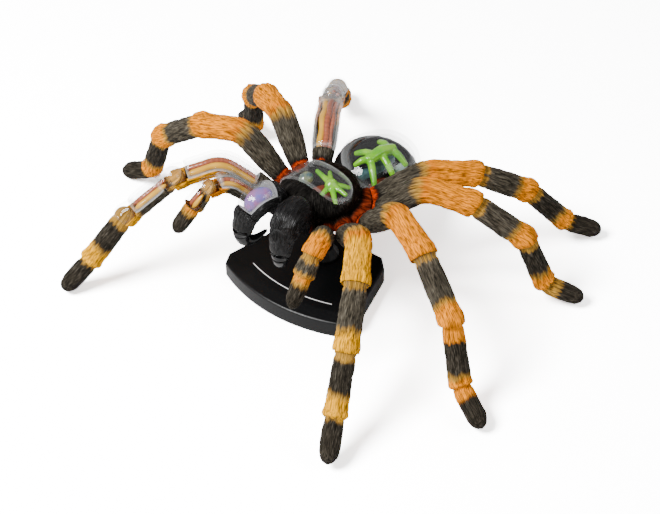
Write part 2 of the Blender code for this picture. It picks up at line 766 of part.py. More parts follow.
def build_leg(side, number, frame):
    """Upper part, tibia and foot of one leg, and the clear covers and muscles of a cut-away one."""
    name = f"leg_{side}_{number}"
    pair = LEG_PAIRS[number]
    bend = pair["bend"] if side == "left" else -pair["bend"]
    limb = Limb([length * pair["scale"] for length in LEG_LENGTHS], pair["pitch"], bend)
    hip = add_empty(name + "_hip", *frame)
    knee, ankle = limb.points[2:4]
    upper = add_object(name + "_upper", limb.upper(FEMUR_R, PATELLA_R, COXA_R, KNEE_BALL), "leg_fur", hip)
    tibia = add_object(name + "_tibia", limb.middle(TIBIA_R, KNEE_BALL, ANKLE_BALL), "leg_fur", hip, knee)
    foot = limb.end(3, METATARSUS_R, TARSUS_R, ANKLE_BALL)
    add_object(name + "_foot", foot, "leg_fur", hip, ankle)
    if (side, number) in CLEAR_LEGS:
        add_cutaway(upper_cutaway(limb, FEMUR_R, PATELLA_R), upper, name + "_upper", (0, 0, 0))
        add_cutaway(tibia_cutaway(limb), tibia, name + "_tibia", knee)


def build_palp(side, frame):
    """Upper part and tip of one feeler; the right one is cut away."""
    name = "palp_" + side
    limb = Limb(PALP_LENGTHS, PALP_PITCH, PALP_BEND if side == "left" else -PALP_BEND)
    hip = add_empty(name + "_hip", *frame)
    upper = add_object(name + "_upper", limb.upper(PALP_R, PALP_R, PALP_COXA_R, PALP_BALL), "leg_fur", hip)
    lower = limb.end(2, PALP_R - 0.3, PALP_R - 0.9, PALP_BALL)
    add_object(name + "_lower", lower, "leg_fur", hip, limb.points[2])
    if side == "right":
        add_cutaway(palp_cutaway(limb), upper, name, (0, 0, 0))


def palp_cutaway(limb):
    """The clear stretch over a feeler's femur and patella."""
    hip, knee, cup = limb.points[:3]
    femur, patella = limb.axes[:2]
    lean = (femur + patella).normalized()
    path = [hip + femur * 5.6, knee - femur * 2.8, knee, cup - patella * 4.6]
    return CutAway(path, [femur, femur, lean, patella], [PALP_R] * 4)


bpy.ops.object.select_all(action="DESELECT")
for leftover in list(bpy.data.objects):
    bpy.data.objects.remove(leftover)
build_stand()
build_underside()
build_carapace()
build_front_organs()
build_belly()
build_belly_organs()
build_jaw(1, "left")
build_jaw(-1, "right")
for frame_name, frame_values in hips().items():
    words = frame_name.split("_")
    if words[0] == "leg":
        build_leg(words[1], int(words[2]), frame_values)
    else:
        build_palp(words[1], frame_values)
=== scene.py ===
"""Looks for the tarantula anatomy model: fur, bands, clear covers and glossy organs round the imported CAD.

Frame as the CAD: origin under the stand, +Z up, the head faces -Y. Sizes here are in millimetres
until a mesh is made, as in the part's own source.
"""

import math

import bmesh
import bpy
import numpy as np
from mathutils import Matrix, Vector


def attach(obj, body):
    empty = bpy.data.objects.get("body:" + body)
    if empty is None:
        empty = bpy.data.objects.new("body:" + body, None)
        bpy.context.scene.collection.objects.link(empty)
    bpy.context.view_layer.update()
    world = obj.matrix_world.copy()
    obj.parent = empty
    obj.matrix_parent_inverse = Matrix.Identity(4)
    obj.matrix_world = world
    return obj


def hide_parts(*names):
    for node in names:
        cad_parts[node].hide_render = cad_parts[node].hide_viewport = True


MM = 0.001
UP = np.array([0.0, 0.0, 1.0])
OUTWARDS = np.array([1.0, 0.0, 0.0])  # along a limb's peg, in the limb's own axes

# ---- driving dimensions, as in the CAD ----------------------------------------------------------
GAP = 0.35
BALL_PLAY = 0.5
MOUTH = 0.5
SHOULDER = 2.7
COLLAR_WALL = 0.75
TROCHANTER = 2.5
PEG_R = 1.8
PEG_LEN = 4.0
COVER_WALL = 1.0
COVER_SEAT = 1.3
COVER_EDGE = 0.2
SOCKET_Z = 38.8
COXA_R = 3.8
FEMUR_R = 5.0
PATELLA_R = 5.2
TIBIA_R = 4.7
METATARSUS_R = 4.3
TARSUS_R = 3.9
KNEE_BALL = 4.3
ANKLE_BALL = 3.9
LEG_LENGTHS = (23.5, 21.5, 27.0, 26.5, 18.0)
LEG_PAIRS = {
    1: {"hip": (20.8, -12.8), "heading": -42, "bend": -10, "pitch": (38, -13, -37, -51, -45), "scale": 0.95},
    2: {"hip": (23.0, -2.7), "heading": -8, "bend": -8, "pitch": (45, -13, -35, -67, -25), "scale": 1.0},
    3: {"hip": (21.3, 6.9), "heading": 31, "bend": -4, "pitch": (39, -13, -35, -69, -20), "scale": 0.95},
    4: {"hip": (14.8, 13.0), "heading": 54, "bend": 0, "pitch": (20, -12, -29, -48, -26), "scale": 0.95},
}
LEG_SET = {
    ("left", 1): (2, -12), ("right", 1): (-2, -6),
    ("left", 2): (-3, -4), ("right", 2): (3, 8),
    ("left", 3): (2, 3), ("right", 3): (-2, 6),
    ("left", 4): (0, -5), ("right", 4): (0, -1),
}
CLEAR_LEGS = (("right", 1), ("right", 4))
PALP_HIP = (15.2, -19.2)
PALP_HEADING = -54
PALP_BEND = -14
PALP_PITCH = (42, -3, -48, -51)
PALP_LENGTHS = (19.0, 9.5, 9.5, 13.0)
PALP_SET = {"left": (-3, -10), "right": (3, -4)}
PALP_R = 4.2
PALP_BALL = 3.2
PALP_COXA_R = 3.4
JAW_PEG = (6.0, -20.8, 39.2)
JAW_STUB_R = 3.3
JAW_PATH = ((6.3, -22.4, 46.4), (7.0, -25.6, 51.0), (8.3, -31.4, 51.2), (9.5, -35.8, 47.0))
JAW_RADII = (5.2, 6.2, 6.1, 5.1)
JAW_CUT_ROLL = 25.0
FANG_HINGE = (10.1, -37.6, 42.2)
FANG_BALL = 3.1
FANG_PATH = ((10.2, -38.5, 38.2), (9.6, -37.5, 35.2), (8.0, -33.6, 34.0), (6.4, -29.0, 36.0))
FANG_RADII = (3.0, 2.6, 1.8, 0.7)
SEAM_Z = 43.0
BODY_Y = -4.5
BODY_HALF = (15.5, 15.5, 13.5)
CARAPACE_HALF = (16.2, 16.0, 9.6)
CARAPACE_WALL = 1.5
WINDOW_TIP = 15.0
WINDOW_HALF = 7.2
WINDOW_Y = -4.2
BELLY_CENTRE = (0.0, 29.7, 33.0)
BELLY_HALF = (16.4, 20.0, 15.0)
BELLY_WALL = 1.4
BELLY_CUT_POINT = (0.0, 29.7, 37.0)
BELLY_CUT_NORMAL = (0.33, 0.23, 0.915)
WINDOW_PROUD = 0.6
STAND_TURN = 4.5
STAND_FRONT_HALF = 30.5
STAND_FRONT_Y = -29.5
STAND_ARC_DEPTH = 7.0
STAND_BACK_HALF = 24.2
STAND_BACK_Y = 10.5
STAND_CHAMFER = 4.5
STAND_FRONT_CUT = (1.6, 4.5)
STAND_HEIGHT = 8.5
POST_Y = -3.0

# ---- looks --------------------------------------------------------------------------------------
# where a clear cover starts, after the trochanter or the knee, and how far before the lip it ends
UPPER_CUT = (6.0, 6.0)
TIBIA_CUT = (4.4, 6.0)
PALP_CUT = (5.6, 5.1)
FANG_ROOT_R = 4.0
FANG_ROOT_AT = 2.3  # from the hinge
STAND_CREASE = 5.5  # from the stand's edge to the crease in its top
STAND_FRONT_DROP = 0.8
ARC_POINTS = 25  # on the front curve of the stand
LINE_INSET = 9.0
LINE_WIDE = 0.35
NECK_DEGREES = 118  # how far round its ball a limb's neck starts; too little and a bent limb cuts its collar
SIDES = 84  # points round a furry limb
STEP = 0.7  # distance between its rings
FUR_DEPTH = 0.75
FUR_MIDDLE = 0.45  # the height of hair, 0 to 1, that lies on the limb's radius
BALL_SPACE = 0.14  # between a limb's ball and the socket round it
TOUCH = 1e-6  # rounding allowed when a sample lies on the end of a span
GLASS_REACH = 0.1  # a clear half takes in rings this far past its ends
WHITE = (255, 255, 255)
FULL_TURN = 2 * math.pi
CLEAR_SHARP = 50  # degrees above which an edge of a clear piece stays sharp
LIP_RAGGED = 0.45  # how far the hair runs out over a collar's lip
LIP_RAGGED_OVER = 1.4  # how far back from the lip it starts to do so

# paint colours in sRGB, 0 to 255
DARK = (74, 68, 57)
DARK_GREY = (92, 83, 68)
FOOT_DARK = (52, 47, 39)
ORANGE = (252, 148, 0)
YELLOW_ORANGE = (255, 178, 0)
DEEP_ORANGE = (222, 122, 6)
OCHRE = (190, 140, 54)
RED_ORANGE = (178, 56, 10)
BLACK = (22, 20, 18)
JAW_BLACK = (12, 11, 11)
BROWN_BLACK = (24, 15, 10)
CLEAR_LINING = (232, 176, 84)  # inside the clear collars
LEG_BANDS = {
    # leg: its orange, the pale starts of its metatarsus and tarsus, where the dark of the metatarsus ends
    ("left", 1): (YELLOW_ORANGE, 0.8, 0.1, 0.54), ("right", 1): (YELLOW_ORANGE, 0.8, 0.1, 0.54),
    ("left", 2): (ORANGE, 4.0, 5.0, 0.72), ("left", 3): (ORANGE, 0.2, 5.0, 0.6),
}
OTHER_BANDS = (ORANGE, 0.2, 0.8, 0.6)

# the photograph's camera: bearing and height in degrees, distance and aim in millimetres
VIEW_BEARING = 42.7
VIEW_HEIGHT = 42.7
VIEW_DISTANCE = 700.0
VIEW_AIM = (-3.6, 4.7, 0.0)
VIEW_ROLL = 1.07
VIEW_LENS = 91.6


# name: degrees from the camera's bearing, height, distance and size in metres, watts
LIGHTS = {"key": (-62, 52, 0.9, 0.4, 19.0), "fill": (70, 35, 1.2, 0.8, 4.5)}
WORLD_LIGHT = 0.36
FLOOR_REACH = 3.0
PAPER_WHITE = 7.0  # how bright the paper looks to the camera, as if overexposed


# ---- small numeric helpers ----------------------------------------------------------------------
def unit(v):
    return v / np.linalg.norm(v, axis=-1, keepdims=True)


def turns(count):
    """Equal angles once round."""
    return np.arange(count) * 2 * math.pi / count


def across(angles, level, rise):
    """Directions at the given angles between two crosswise directions."""
    return np.cos(angles)[:, None] * level + np.sin(angles)[:, None] * rise


def shares(size, *parts):
    return [size * part for part in parts]


def straightened(along, r, angles):
    """Hair-flow places: the way along, then two ways across."""
    return np.stack([along, r * np.cos(angles), r * np.sin(angles)], axis=1)


def linear(colour):
    """Display colour 0..255 to scene-linear 0..1."""
    c = np.asarray(colour, dtype=float) / 255
    return np.where(c <= 0.04045, c / 12.92, ((c + 0.055) / 1.055) ** 2.4)


def value_noise(points, seed=0):
    """Smooth lattice noise, 0 to 1, at (n, 3) points."""
    base = np.floor(points).astype(np.int64)
    part = points - base
    part = part * part * (3 - 2 * part)
    total = np.zeros(len(points))
    for corner in range(8):
        offset = np.array([corner & 1, (corner >> 1) & 1, (corner >> 2) & 1])
        cell = base + offset
        mixed = cell[:, 0] * 374761393 + cell[:, 1] * 668265263 + cell[:, 2] * 1440662683 + seed * 97531
        mixed = mixed & 0xFFFFFFFF
        mixed = ((mixed ^ (mixed >> 13)) * 1274126177) & 0xFFFFFFFF
        mixed = mixed ^ (mixed >> 16)
        weight = np.prod(np.where(offset == 1, part, 1 - part), axis=1)
        total += (mixed & 0xFFFF) / 65535.0 * weight
    return total


def tufts(flow, seed=0, wide=1.0):
    """Height 0..1 of sculpted hair at (along, across, across) places in millimetres."""
    along, side = flow[:, :1], flow[:, 1:]
    sway = value_noise(np.hstack([along / 6.0, side / 3.0]), seed + 3)[:, None] - 0.5
    side = side + 1.6 * sway
    coarse = value_noise(np.hstack([along / 7.0, side / (1.25 * wide)]), seed)
    fine = value_noise(np.hstack([along / 4.5, side / (0.7 * wide)]), seed + 1)
    phase = value_noise(np.hstack([along * 0, side / (1.4 * wide)]), seed + 2)
    shingle = np.modf(along[:, 0] / 4.6 + 5.0 * phase)[0]
    lobes = np.abs(2 * coarse - 1) ** 0.55
    strands = np.abs(2 * fine - 1) ** 0.6
    return np.clip(0.52 * lobes + 0.33 * strands + 0.3 * shingle - 0.05, 0, 1)


def banded(knots, places, flow, seed, ragged=2.4):
    """Linear colours at `places` along a limb, from (place, colour) knots, with ragged borders."""
    side = flow[:, 1:]
    shift = ragged * (value_noise(np.hstack([flow[:, :1] / 4, side / 0.7]), seed + 5) - 0.5)
    shift += ragged * 0.7 * (value_noise(np.hstack([flow[:, :1] / 7, side / 2.4]), seed + 6) - 0.5)
    xs = [k[0] for k in knots]
    colours = np.array([linear(k[1]) for k in knots])
    at = places + shift
    return np.stack([np.interp(at, xs, colours[:, i]) for i in range(3)], axis=1)


# ---- meshes -------------------------------------------------------------------------------------
class Build:
    """Collects closed skins with their colour, fur height and hair-flow place; the height also sets the
    painted shade and highlight of fur, and the painted highlight of clear pieces.
    """

    def __init__(self):
        self.points, self.faces, self.colour, self.height, self.flow = [], [], [], [], []
        self.second = []
        self.count = 0

    def add(self, points, faces, colour, height=None, flow=None, second=None):
        n = len(points)
        self.second += [False] * len(faces) if second is None else second
        self.points.append(points)
        self.faces += [tuple(i + self.count for i in face) for face in faces]
        self.colour.append(np.broadcast_to(colour, (n, 3)))
        self.height.append(np.full(n, 0.5) if height is None else height)
        self.flow.append(points if flow is None else flow)
        self.count += n
        return self

    def finish(self, name, surface, body, slot, replaces=(), sharp=None, place=None, other=None):
        points = np.concatenate(self.points)
        if place:
            points = place(points)
        mesh = bpy.data.meshes.new(name)
        mesh.from_pydata((points * MM).tolist(), [], self.faces)
        shape = bmesh.new()
        shape.from_mesh(mesh)
        bmesh.ops.recalc_face_normals(shape, faces=shape.faces)
        shape.to_mesh(mesh)
        shape.free()
        put_attributes(mesh, *[np.concatenate(part) for part in (self.colour, self.height, self.flow)])
        mesh.shade_smooth()
        if sharp:
            mesh.set_sharp_from_angle(angle=math.radians(sharp))
        mesh.materials.append(surface)
        if other:
            mesh.materials.append(other)
            mesh.polygons.foreach_set("material_index", np.array(self.second, dtype=np.int32))
        return placed(bpy.data.objects.new(name, mesh), body, replaces)


def put_attributes(mesh, colour, height, flow):
    colour = np.hstack([colour, np.ones((len(colour), 1))])
    for name, kind, key, values in (
        ("tint", "FLOAT_COLOR", "color", colour), ("lift", "FLOAT", "value", height),
        ("run", "FLOAT_VECTOR", "vector", flow),
    ):
        layer = mesh.attributes.new(name, kind, "POINT")
        layer.data.foreach_set(key, values.astype(np.float32).ravel())


def placed(piece, body, replaces=()):
    """Links a piece, says what it rides on, and hides the CAD parts it stands for."""
    if piece.name not in bpy.context.scene.collection.objects:
        bpy.context.scene.collection.objects.link(piece)
    bpy.context.view_layer.update()
    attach(piece, body)
    if replaces:
        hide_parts(*replaces)
    return piece


def grid_faces(rows, sides):
    """Quads between neighbouring closed rows of points."""
    faces = []
    for j in range(rows - 1):
        for i in range(sides):
            k = (i + 1) % sides
            faces.append((j * sides + i, j * sides + k, (j + 1) * sides + k, (j + 1) * sides + i))
    return faces


def capped(rows, sides):
    """Faces of a closed skin over rows of points, with a fan on a centre point at each end."""
    faces = grid_faces(rows, sides)
    first, last = rows * sides, rows * sides + 1
    for i in range(sides):
        k = (i + 1) % sides
        faces.append((k, i, first))
        top = (rows - 1) * sides
        faces.append((top + i, top + k, last))
    return faces


def solid_grid(rows, sides):
    """Faces of a closed skin over rows of points, with one flat face at each end."""
    return grid_faces(rows, sides) + [tuple(range(sides)), tuple(range((rows - 1) * sides, rows * sides))]


def add_tube(build, grid, colour):
    """A closed skin over rings of points, with each end drawn to the middle of its ring."""
    ends = np.array([grid[0].mean(axis=0), grid[-1].mean(axis=0)])
    build.add(np.concatenate(grid + [ends]), capped(len(grid), len(grid[0])), colour)


# ---- limbs --------------------------------------------------------------------------------------
class Line:
    """A centre line with its axis, level and rise directions and length at every sample."""

    def __init__(self, centres, roll=0.0):
        self.centres = centres
        self.axes = unit(np.gradient(centres, axis=0, edge_order=2))
        level = unit(np.cross(UP, self.axes))
        rise = np.cross(self.axes, level)
        c, s = math.cos(math.radians(roll)), math.sin(math.radians(roll))
        self.level = level * c + rise * s
        self.rise = rise * c - level * s
        steps = np.linalg.norm(np.diff(self.centres, axis=0), axis=1)
        self.along = np.concatenate([[0], np.cumsum(steps)])
        self.length = self.along[-1]

    def ring(self, i, radius, angles):
        """Points round sample i."""
        return self.centres[i] + radius[:, None] * across(angles, self.level[i], self.rise[i])

    def between(self, low, high):
        """Which samples lie between two lengths."""
        return [i for i, s in enumerate(self.along) if low <= s <= high]


def rounded_line(corners, rounding):
    """Straight runs between corners, each inner corner rounded by (before, after) lengths."""
    corners = [np.array(c, dtype=float) for c in corners]
    out = [corners[0]]
    here = corners[0]
    for i in range(1, len(corners) - 1):
        before, after = rounding[i - 1]
        start = corners[i] - unit(corners[i] - corners[i - 1]) * before
        stop = corners[i] + unit(corners[i + 1] - corners[i]) * after
        out += straight_run(here, start)
        bend_steps = max(3, int((before + after) / STEP))
        for k in range(1, bend_steps + 1):
            t = k / bend_steps
            out.append((1 - t) ** 2 * start + 2 * t * (1 - t) * corners[i] + t**2 * stop)
        here = stop
    out += straight_run(here, corners[-1])
    return Line(np.array(out))


def straight_run(start, stop):
    length = np.linalg.norm(stop - start)
    if length < 0.05:
        return []
    count = max(1, int(round(length / STEP)))
    return [start + (stop - start) * (k / count) for k in range(1, count + 1)]


def curve_through(points, radii, per=8):
    """Catmull-Rom centre line and radii through the given points."""
    pts = [np.array(p, dtype=float) for p in points]
    ends = [2 * pts[0] - pts[1], *pts, 2 * pts[-1] - pts[-2]]
    out, sizes = [], []
    for j in range(1, len(ends) - 2):
        a, b, c, d = ends[j - 1 : j + 3]
        for k in range(per):
            t = k / per
            square, cube = 2 * a - 5 * b + 4 * c - d, 3 * b - 3 * c + d - a
            out.append(0.5 * (2 * b + (c - a) * t + square * t**2 + cube * t**3))
            sizes.append(radii[j - 1] * (1 - t) + radii[j] * t)
    return np.array(out + [pts[-1]]), np.array(sizes + [radii[-1]])


class Hip:
    """A limb's own axes in the world: +X outwards along its peg."""

    def __init__(self, hip, heading, turn, swivel, side):
        self.side = 1 if side == "left" else -1
        where = (hip[0] * self.side, hip[1], SOCKET_Z)
        angle = heading + turn if side == "left" else 180 - heading - turn
        roll = swivel * self.side
        spin = Matrix.Rotation(math.radians(angle), 3, "Z") @ Matrix.Rotation(math.radians(roll), 3, "X")
        self.spin = np.array(spin)
        self.where = np.array(where)

    def world(self, points):
        return np.asarray(points) @ self.spin.T + self.where


def section_axes(pitches, bend):
    axes = []
    for i, pitch in enumerate(pitches):
        heading, rise = math.radians(bend if i else 0), math.radians(pitch)
        level = math.cos(rise)
        axes.append(np.array([level * math.cos(heading), level * math.sin(heading), math.sin(rise)]))
    return axes


def joints_of(lengths, axes):
    points = [np.zeros(3)]
    for length, axis in zip(lengths, axes):
        points.append(points[-1] + axis * length)
    return points


def circle(centre, axis, radius):
    """A smooth ring of SIDES points, set out like a line's own rings."""
    level = unit(np.cross(UP, axis))
    return centre + radius * across(turns(SIDES), level, np.cross(axis, level))


def ball_rings(centre, axis, ball, degrees):
    """The far pole of a ball, and its rings at the given degrees from there."""
    rings = []
    for a in np.radians(degrees):
        rings.append(circle(centre - axis * ball * math.cos(a), axis, ball * math.sin(a)))
    return centre - axis * ball, rings


def ball_head(centre, axis, ball):
    """Rings of a ball, from the far pole towards the limb that starts on it."""
    return ball_rings(centre, axis, ball + BALL_PLAY - BALL_SPACE, np.linspace(8, NECK_DEGREES, 11))


def peg_head(shoulder, out, radius):
    """Rings of a round peg up to its shoulder."""
    tip = shoulder - out * PEG_LEN
    rings = [circle(tip, out, PEG_R - 0.25), circle(tip + out * 0.3, out, PEG_R)]
    rings += [circle(shoulder - out * 0.02, out, PEG_R), circle(shoulder, out, radius)]
    return tip, rings


def cup_tail(centre, ahead, ball):
    """Rings from a collar's lip round the inside of its socket to the pole."""
    socket = ball + BALL_PLAY
    lip = math.degrees(math.acos(-MOUTH / socket))
    return ball_rings(centre, ahead, socket, np.linspace(lip, 8, 8))


def furry(build, line, span, radius, knots, seed, fur, head=None, tail=None, glass=None):
    """A closed furry skin over the samples of a line that lie in span, with smooth rings at its ends.

    Between the two places in glass the upper half of the skin is smooth and clear.
    """
    angles = turns(SIDES)
    grid, heights, flows, places = [], [], [], []
    used = line.between(span[0] - TOUCH, span[1] + TOUCH)
    for i in used:
        s = line.along[i]
        r = np.full(SIDES, np.interp(s, *radius))
        flow = straightened(np.full(SIDES, s), r, angles)
        height = tufts(flow, seed)
        furred = np.ones(SIDES)
        if in_glass(s, glass):
            furred = np.where(angles < math.pi, 0.0, 1.0)
        ring = line.ring(i, r + FUR_DEPTH * np.interp(s, *fur) * furred * (height - FUR_MIDDLE), angles)
        if tail:
            near_lip = np.clip((s - span[1] + LIP_RAGGED_OVER) / LIP_RAGGED_OVER, 0, 1)
            ring = ring + line.axes[i] * (LIP_RAGGED * near_lip * furred * (height - 0.3))[:, None]
        grid.append(ring)
        heights.append(height * furred)
        flows.append(flow)
        places.append(np.full(SIDES, s))
    tint = banded(knots, np.concatenate(places), np.concatenate(flows), seed)
    first, before = head or (grid[0].mean(axis=0), [])
    last, after = tail or (grid[-1].mean(axis=0), [])
    # from the collar's lip into its socket the colour falls to 0.3 of the limb's own and the lift to 0.3:
    # painted shade in the recess
    start, stop = tint[:SIDES], tint[-SIDES:] * 0.3
    low = np.full(SIDES, 0.3)
    first_low = heights[0]
    if glass:
        start = stop = np.broadcast_to(linear(CLEAR_LINING), (SIDES, 3))
        low = first_low = np.where(angles < math.pi, 0.0, 0.5)

    def with_ends(at_start, middle, at_stop, at_poles):
        """Values on the rings of the head, of the fur and of the tail, then on the two poles."""
        return np.concatenate([at_start] * len(before) + middle + [at_stop] * len(after) + at_poles)

    colour = with_ends(start, [tint], stop, [start[:1], stop[:1]])
    height = with_ends(first_low, heights, low, [low[:2]])
    flow = with_ends(flows[0], flows, flows[-1], [flows[0][:1], flows[-1][:1]])
    rings = before + grid + after
    faces = capped(len(rings), SIDES)
    second = None
    if glass:
        ring_places = [-1.0] * len(before) + [line.along[i] for i in used] + [line.length + 1.0] * len(after)
        second = glass_faces(faces, ring_places, glass)
    build.add(np.concatenate(rings + [np.array([first, last])]), faces, colour, height, flow, second)


def in_glass(place, glass):
    return bool(glass) and glass[0] - GLASS_REACH <= place <= glass[1] + GLASS_REACH


def glass_faces(faces, ring_places, glass):
    """Which faces lie in the upper half of a skin between the two places in glass."""
    chosen = []
    for face in faces:
        rings = [min(i // SIDES, len(ring_places) - 1) for i in face]
        above = all(i % SIDES <= SIDES // 2 or i >= len(ring_places) * SIDES for i in face)
        chosen.append(above and all(in_glass(ring_places[r], glass) for r in rings))
    return chosen


def trough(build, line, span, radius, knots, seed):
    """The lower half of a cut-away limb: furry outside, smooth inside, open above."""
    angles = np.linspace(math.pi, FULL_TURN, SIDES // 2 + 1)
    grid, heights, flows, places = [], [], [], []
    fade = np.clip(np.minimum(angles - math.pi, FULL_TURN - angles) / 0.25, 0, 1)
    for i in line.between(span[0] - TOUCH, span[1] + TOUCH):
        s = line.along[i]
        r = np.full(len(angles), np.interp(s, *radius))
        flow = straightened(np.full(len(angles), s), r, angles)
        height = tufts(flow, seed)
        edge = COVER_EDGE * line.rise[i]
        outer = line.ring(i, r + FUR_DEPTH * fade * (height - FUR_MIDDLE), angles) + edge
        inner = line.ring(i, r - COVER_SEAT, angles[::-1]) + edge
        grid.append(np.concatenate([outer, inner]))
        heights.append(np.concatenate([height, np.full(len(angles), 0.15)]))
        flows.append(np.concatenate([flow, flow[::-1]]))
        places.append(np.full(2 * len(angles), s))
    flow = np.concatenate(flows)
    tint = banded(knots, np.concatenate(places), flow, seed)
    faces = solid_grid(len(grid), 2 * len(angles))
    build.add(np.concatenate(grid), faces, tint, np.concatenate(heights), flow)


def clear_cover(build, line, span, radius):
    """A half-round clear cover with closed ends and a thicker edge, with a painted highlight along its edges
    and ends.
    """
    angles = np.linspace(0, math.pi, 21)
    used = line.between(span[0] + GAP, span[1] - GAP)
    grid, glint_shares = [], []
    # painted highlight: the lift is whitish along the long edges and strongest at the end walls
    rim = np.exp(-((np.minimum(angles, math.pi - angles) / 0.09) ** 2))
    for n, i in enumerate(used):
        r = float(np.interp(line.along[i], *radius))
        near_end = min(n, len(used) - 1 - n)
        end_glint, crown = ((0.9, 0.55), (0.35, 0.3), (0.0, 0.1), (0.0, 0.0))[min(near_end, 3)]
        glint_shares.append(np.tile(np.maximum(rim, end_glint), 2))
        outer = line.ring(i, r + 0.25 - crown + 0.18 * np.abs(np.cos(angles)) ** 8, angles)
        wall = r - 0.8 if near_end == 0 else COVER_WALL
        inner = line.ring(i, np.full(len(angles), r - wall), angles[::-1])
        grid.append(np.concatenate([outer, inner]) + (COVER_EDGE + GAP) * line.rise[i])
    faces = solid_grid(len(grid), 2 * len(angles))
    build.add(np.concatenate(grid), faces, linear(WHITE), np.concatenate(glint_shares))


MUSCLE_STRANDS = (
    # sideways, upwards (shares of the room), thickness, ribs per millimetre, colour
    (0.46, 0.12, 0.38, 0.0, (214, 158, 36)),
    (-0.12, 0.38, 0.34, 0.9, (150, 78, 50)),
    (-0.55, 0.10, 0.32, 0.9, (168, 92, 62)),
    (0.0, -0.22, 0.42, 0.7, (84, 26, 16)),
)


def muscle(build, line, span, radius, seed):
    """Strands lying side by side under a cover: one gold, the others copper and ribbed."""
    sides = 16
    used = line.between(span[0] - 1.4, span[1] - 0.2)
    for number, (sideways, upwards, thick, ribs, colour) in enumerate(MUSCLE_STRANDS):
        grid, tints = [], []
        for n, i in enumerate(used):
            s = line.along[i]
            room = np.interp(s, *radius) - COVER_SEAT
            end = min(1.0, (min(n, len(used) - 1 - n) + 0.4) / 3.5) ** 0.5
            wave = 0.06 * room * math.sin(0.5 * s + number * 2 + seed)
            rib = math.sin(2 * math.pi * ribs * s)
            size = room * thick * end * (1 + (0.1 * rib if ribs else 0.0))
            middle = line.centres[i] + (room * sideways + wave) * line.level[i]
            middle = middle + (room * upwards + 0.4 * wave) * line.rise[i]
            grid.append(middle + size * across(turns(sides), line.level[i], line.rise[i]))
            shade = 1 + (0.22 * rib if ribs else 0.08 * math.sin(s))
            tints.append(np.tile(linear(colour) * shade, (sides, 1)))
        add_tube(build, grid, np.concatenate(tints + [tints[0][:1], tints[-1][:1]]))


# ---- legs ---------------------------------------------------------------------------------------
def make_leg(side, number):
    """Upper part, tibia and foot of one leg."""
    name = f"leg_{side}_{number}"
    pair = LEG_PAIRS[number]
    hip = Hip(pair["hip"], pair["heading"], *LEG_SET[(side, number)], side)
    axes = section_axes(pair["pitch"], pair["bend"] * hip.side)
    spots = joints_of([length * pair["scale"] for length in LEG_LENGTHS], axes)
    seed = number * 10 + (0 if side == "left" else 100)
    clear = (side, number) in CLEAR_LEGS
    bands = LEG_BANDS.get((side, number), OTHER_BANDS)
    leg_upper(name, hip, spots, axes, seed, clear, bands[0])
    leg_tibia(name, hip, spots, axes, seed + 3, clear, bands[0])
    leg_foot(name, hip, spots, axes, seed + 6, *bands)


def upper_line(spots, axes, knee_rounding, mouth_rounding):
    """From a limb's shoulder over its knee to the lip of its collar; also its length and where it bends."""
    shoulder = spots[0] - OUTWARDS * TROCHANTER
    lip = spots[2] + axes[2] * MOUTH
    rounding = [(1.5, 3.0), knee_rounding, (mouth_rounding, MOUTH)]
    line = rounded_line([shoulder, spots[0], spots[1], spots[2], lip], rounding)
    knee_at = TROCHANTER + np.linalg.norm(spots[1] - spots[0]) - 1.0
    return line, line.length, knee_at


def finish_fur(build, name, body, hip, node=None):
    build.finish(name + "_fur", SURFACES["fur"], body, "leg_fur", [node or name], None, hip.world, GLASS)


def limb_section(node, body, hip, line, radius, fur, knots, seed, ends, cut, cover=None, join=(0.0, STEP)):
    """A furry section of a limb. Between the two places in cut it is a trough under a clear cover.

    cover is the start of the cover's name where that isn't node. join says how far the skin before the trough
    runs on past its start, and how far back the trough starts.
    """
    total = line.length
    head, tail = ends
    build = Build()
    if not cut:
        furry(build, line, (0, total), radius, knots, seed, fur, head, tail)
    else:
        first = cut[0] + join[0]
        glass = (-2.0, first) if join[0] else None
        furry(build, line, (0, first), radius, knots, seed, fur, head, None, glass)
        trough(build, line, (cut[0] - join[1], cut[1] + STEP), radius, knots, seed)
        furry(build, line, (cut[1], total), radius, knots, seed, fur, None, tail, (cut[1], total + 2))
        cover_and_muscle(cover or node, body, hip, line, cut, radius, seed)
    finish_fur(build, node, body, hip)


def cover_and_muscle(node, body, hip, line, span, radius, seed):
    cover, strands = Build(), Build()
    clear_cover(cover, line, span, radius)
    lid = node + "_cover"
    cover.finish(node + "_clear", SURFACES["clear"], lid, "clear", [lid], CLEAR_SHARP, hip.world)
    muscle(strands, line, span, radius, seed)
    strands.finish(node + "_strands", SURFACES["organ"], body, "muscle", [node + "_muscle"], None, hip.world)


def leg_upper(name, hip, spots, axes, seed, clear, orange):
    line, total, knee_at = upper_line(spots, axes, (5.5, 5.5), 2.6)
    collar = KNEE_BALL + BALL_PLAY + COLLAR_WALL
    radius = (
        [0, 1.5, 4.5, 9.0, 13.0, knee_at, knee_at + 7, total - 5.5, total - 3.2, total - 1.2, total],
        [COXA_R - 0.5, COXA_R, *shares(FEMUR_R, 0.82, 0.93, 1), *shares(PATELLA_R, 1, 0.95, 0.97),
         *shares(collar, 0.97, 1.02, 0.97)],
    )
    fur = ([0, 2.0, 6.0, total - 0.8, total], [0, 0.15, 1.15, 1.1, 0.55])
    knots = [
        (0, RED_ORANGE), (0.8, RED_ORANGE), (2.6, BLACK), (7.0, DARK), (knee_at - 3.0, DARK),
        (knee_at - 0.5, OCHRE), (knee_at + 1.5, DEEP_ORANGE), (knee_at + 4, orange), (total, orange),
    ]
    ends = peg_head(line.centres[0], OUTWARDS, COXA_R - 0.5), cup_tail(spots[2], axes[2], KNEE_BALL)
    cut = (TROCHANTER + UPPER_CUT[0], total - UPPER_CUT[1]) if clear else None
    limb_section(name + "_upper", name, hip, line, radius, fur, knots, seed, ends, cut)


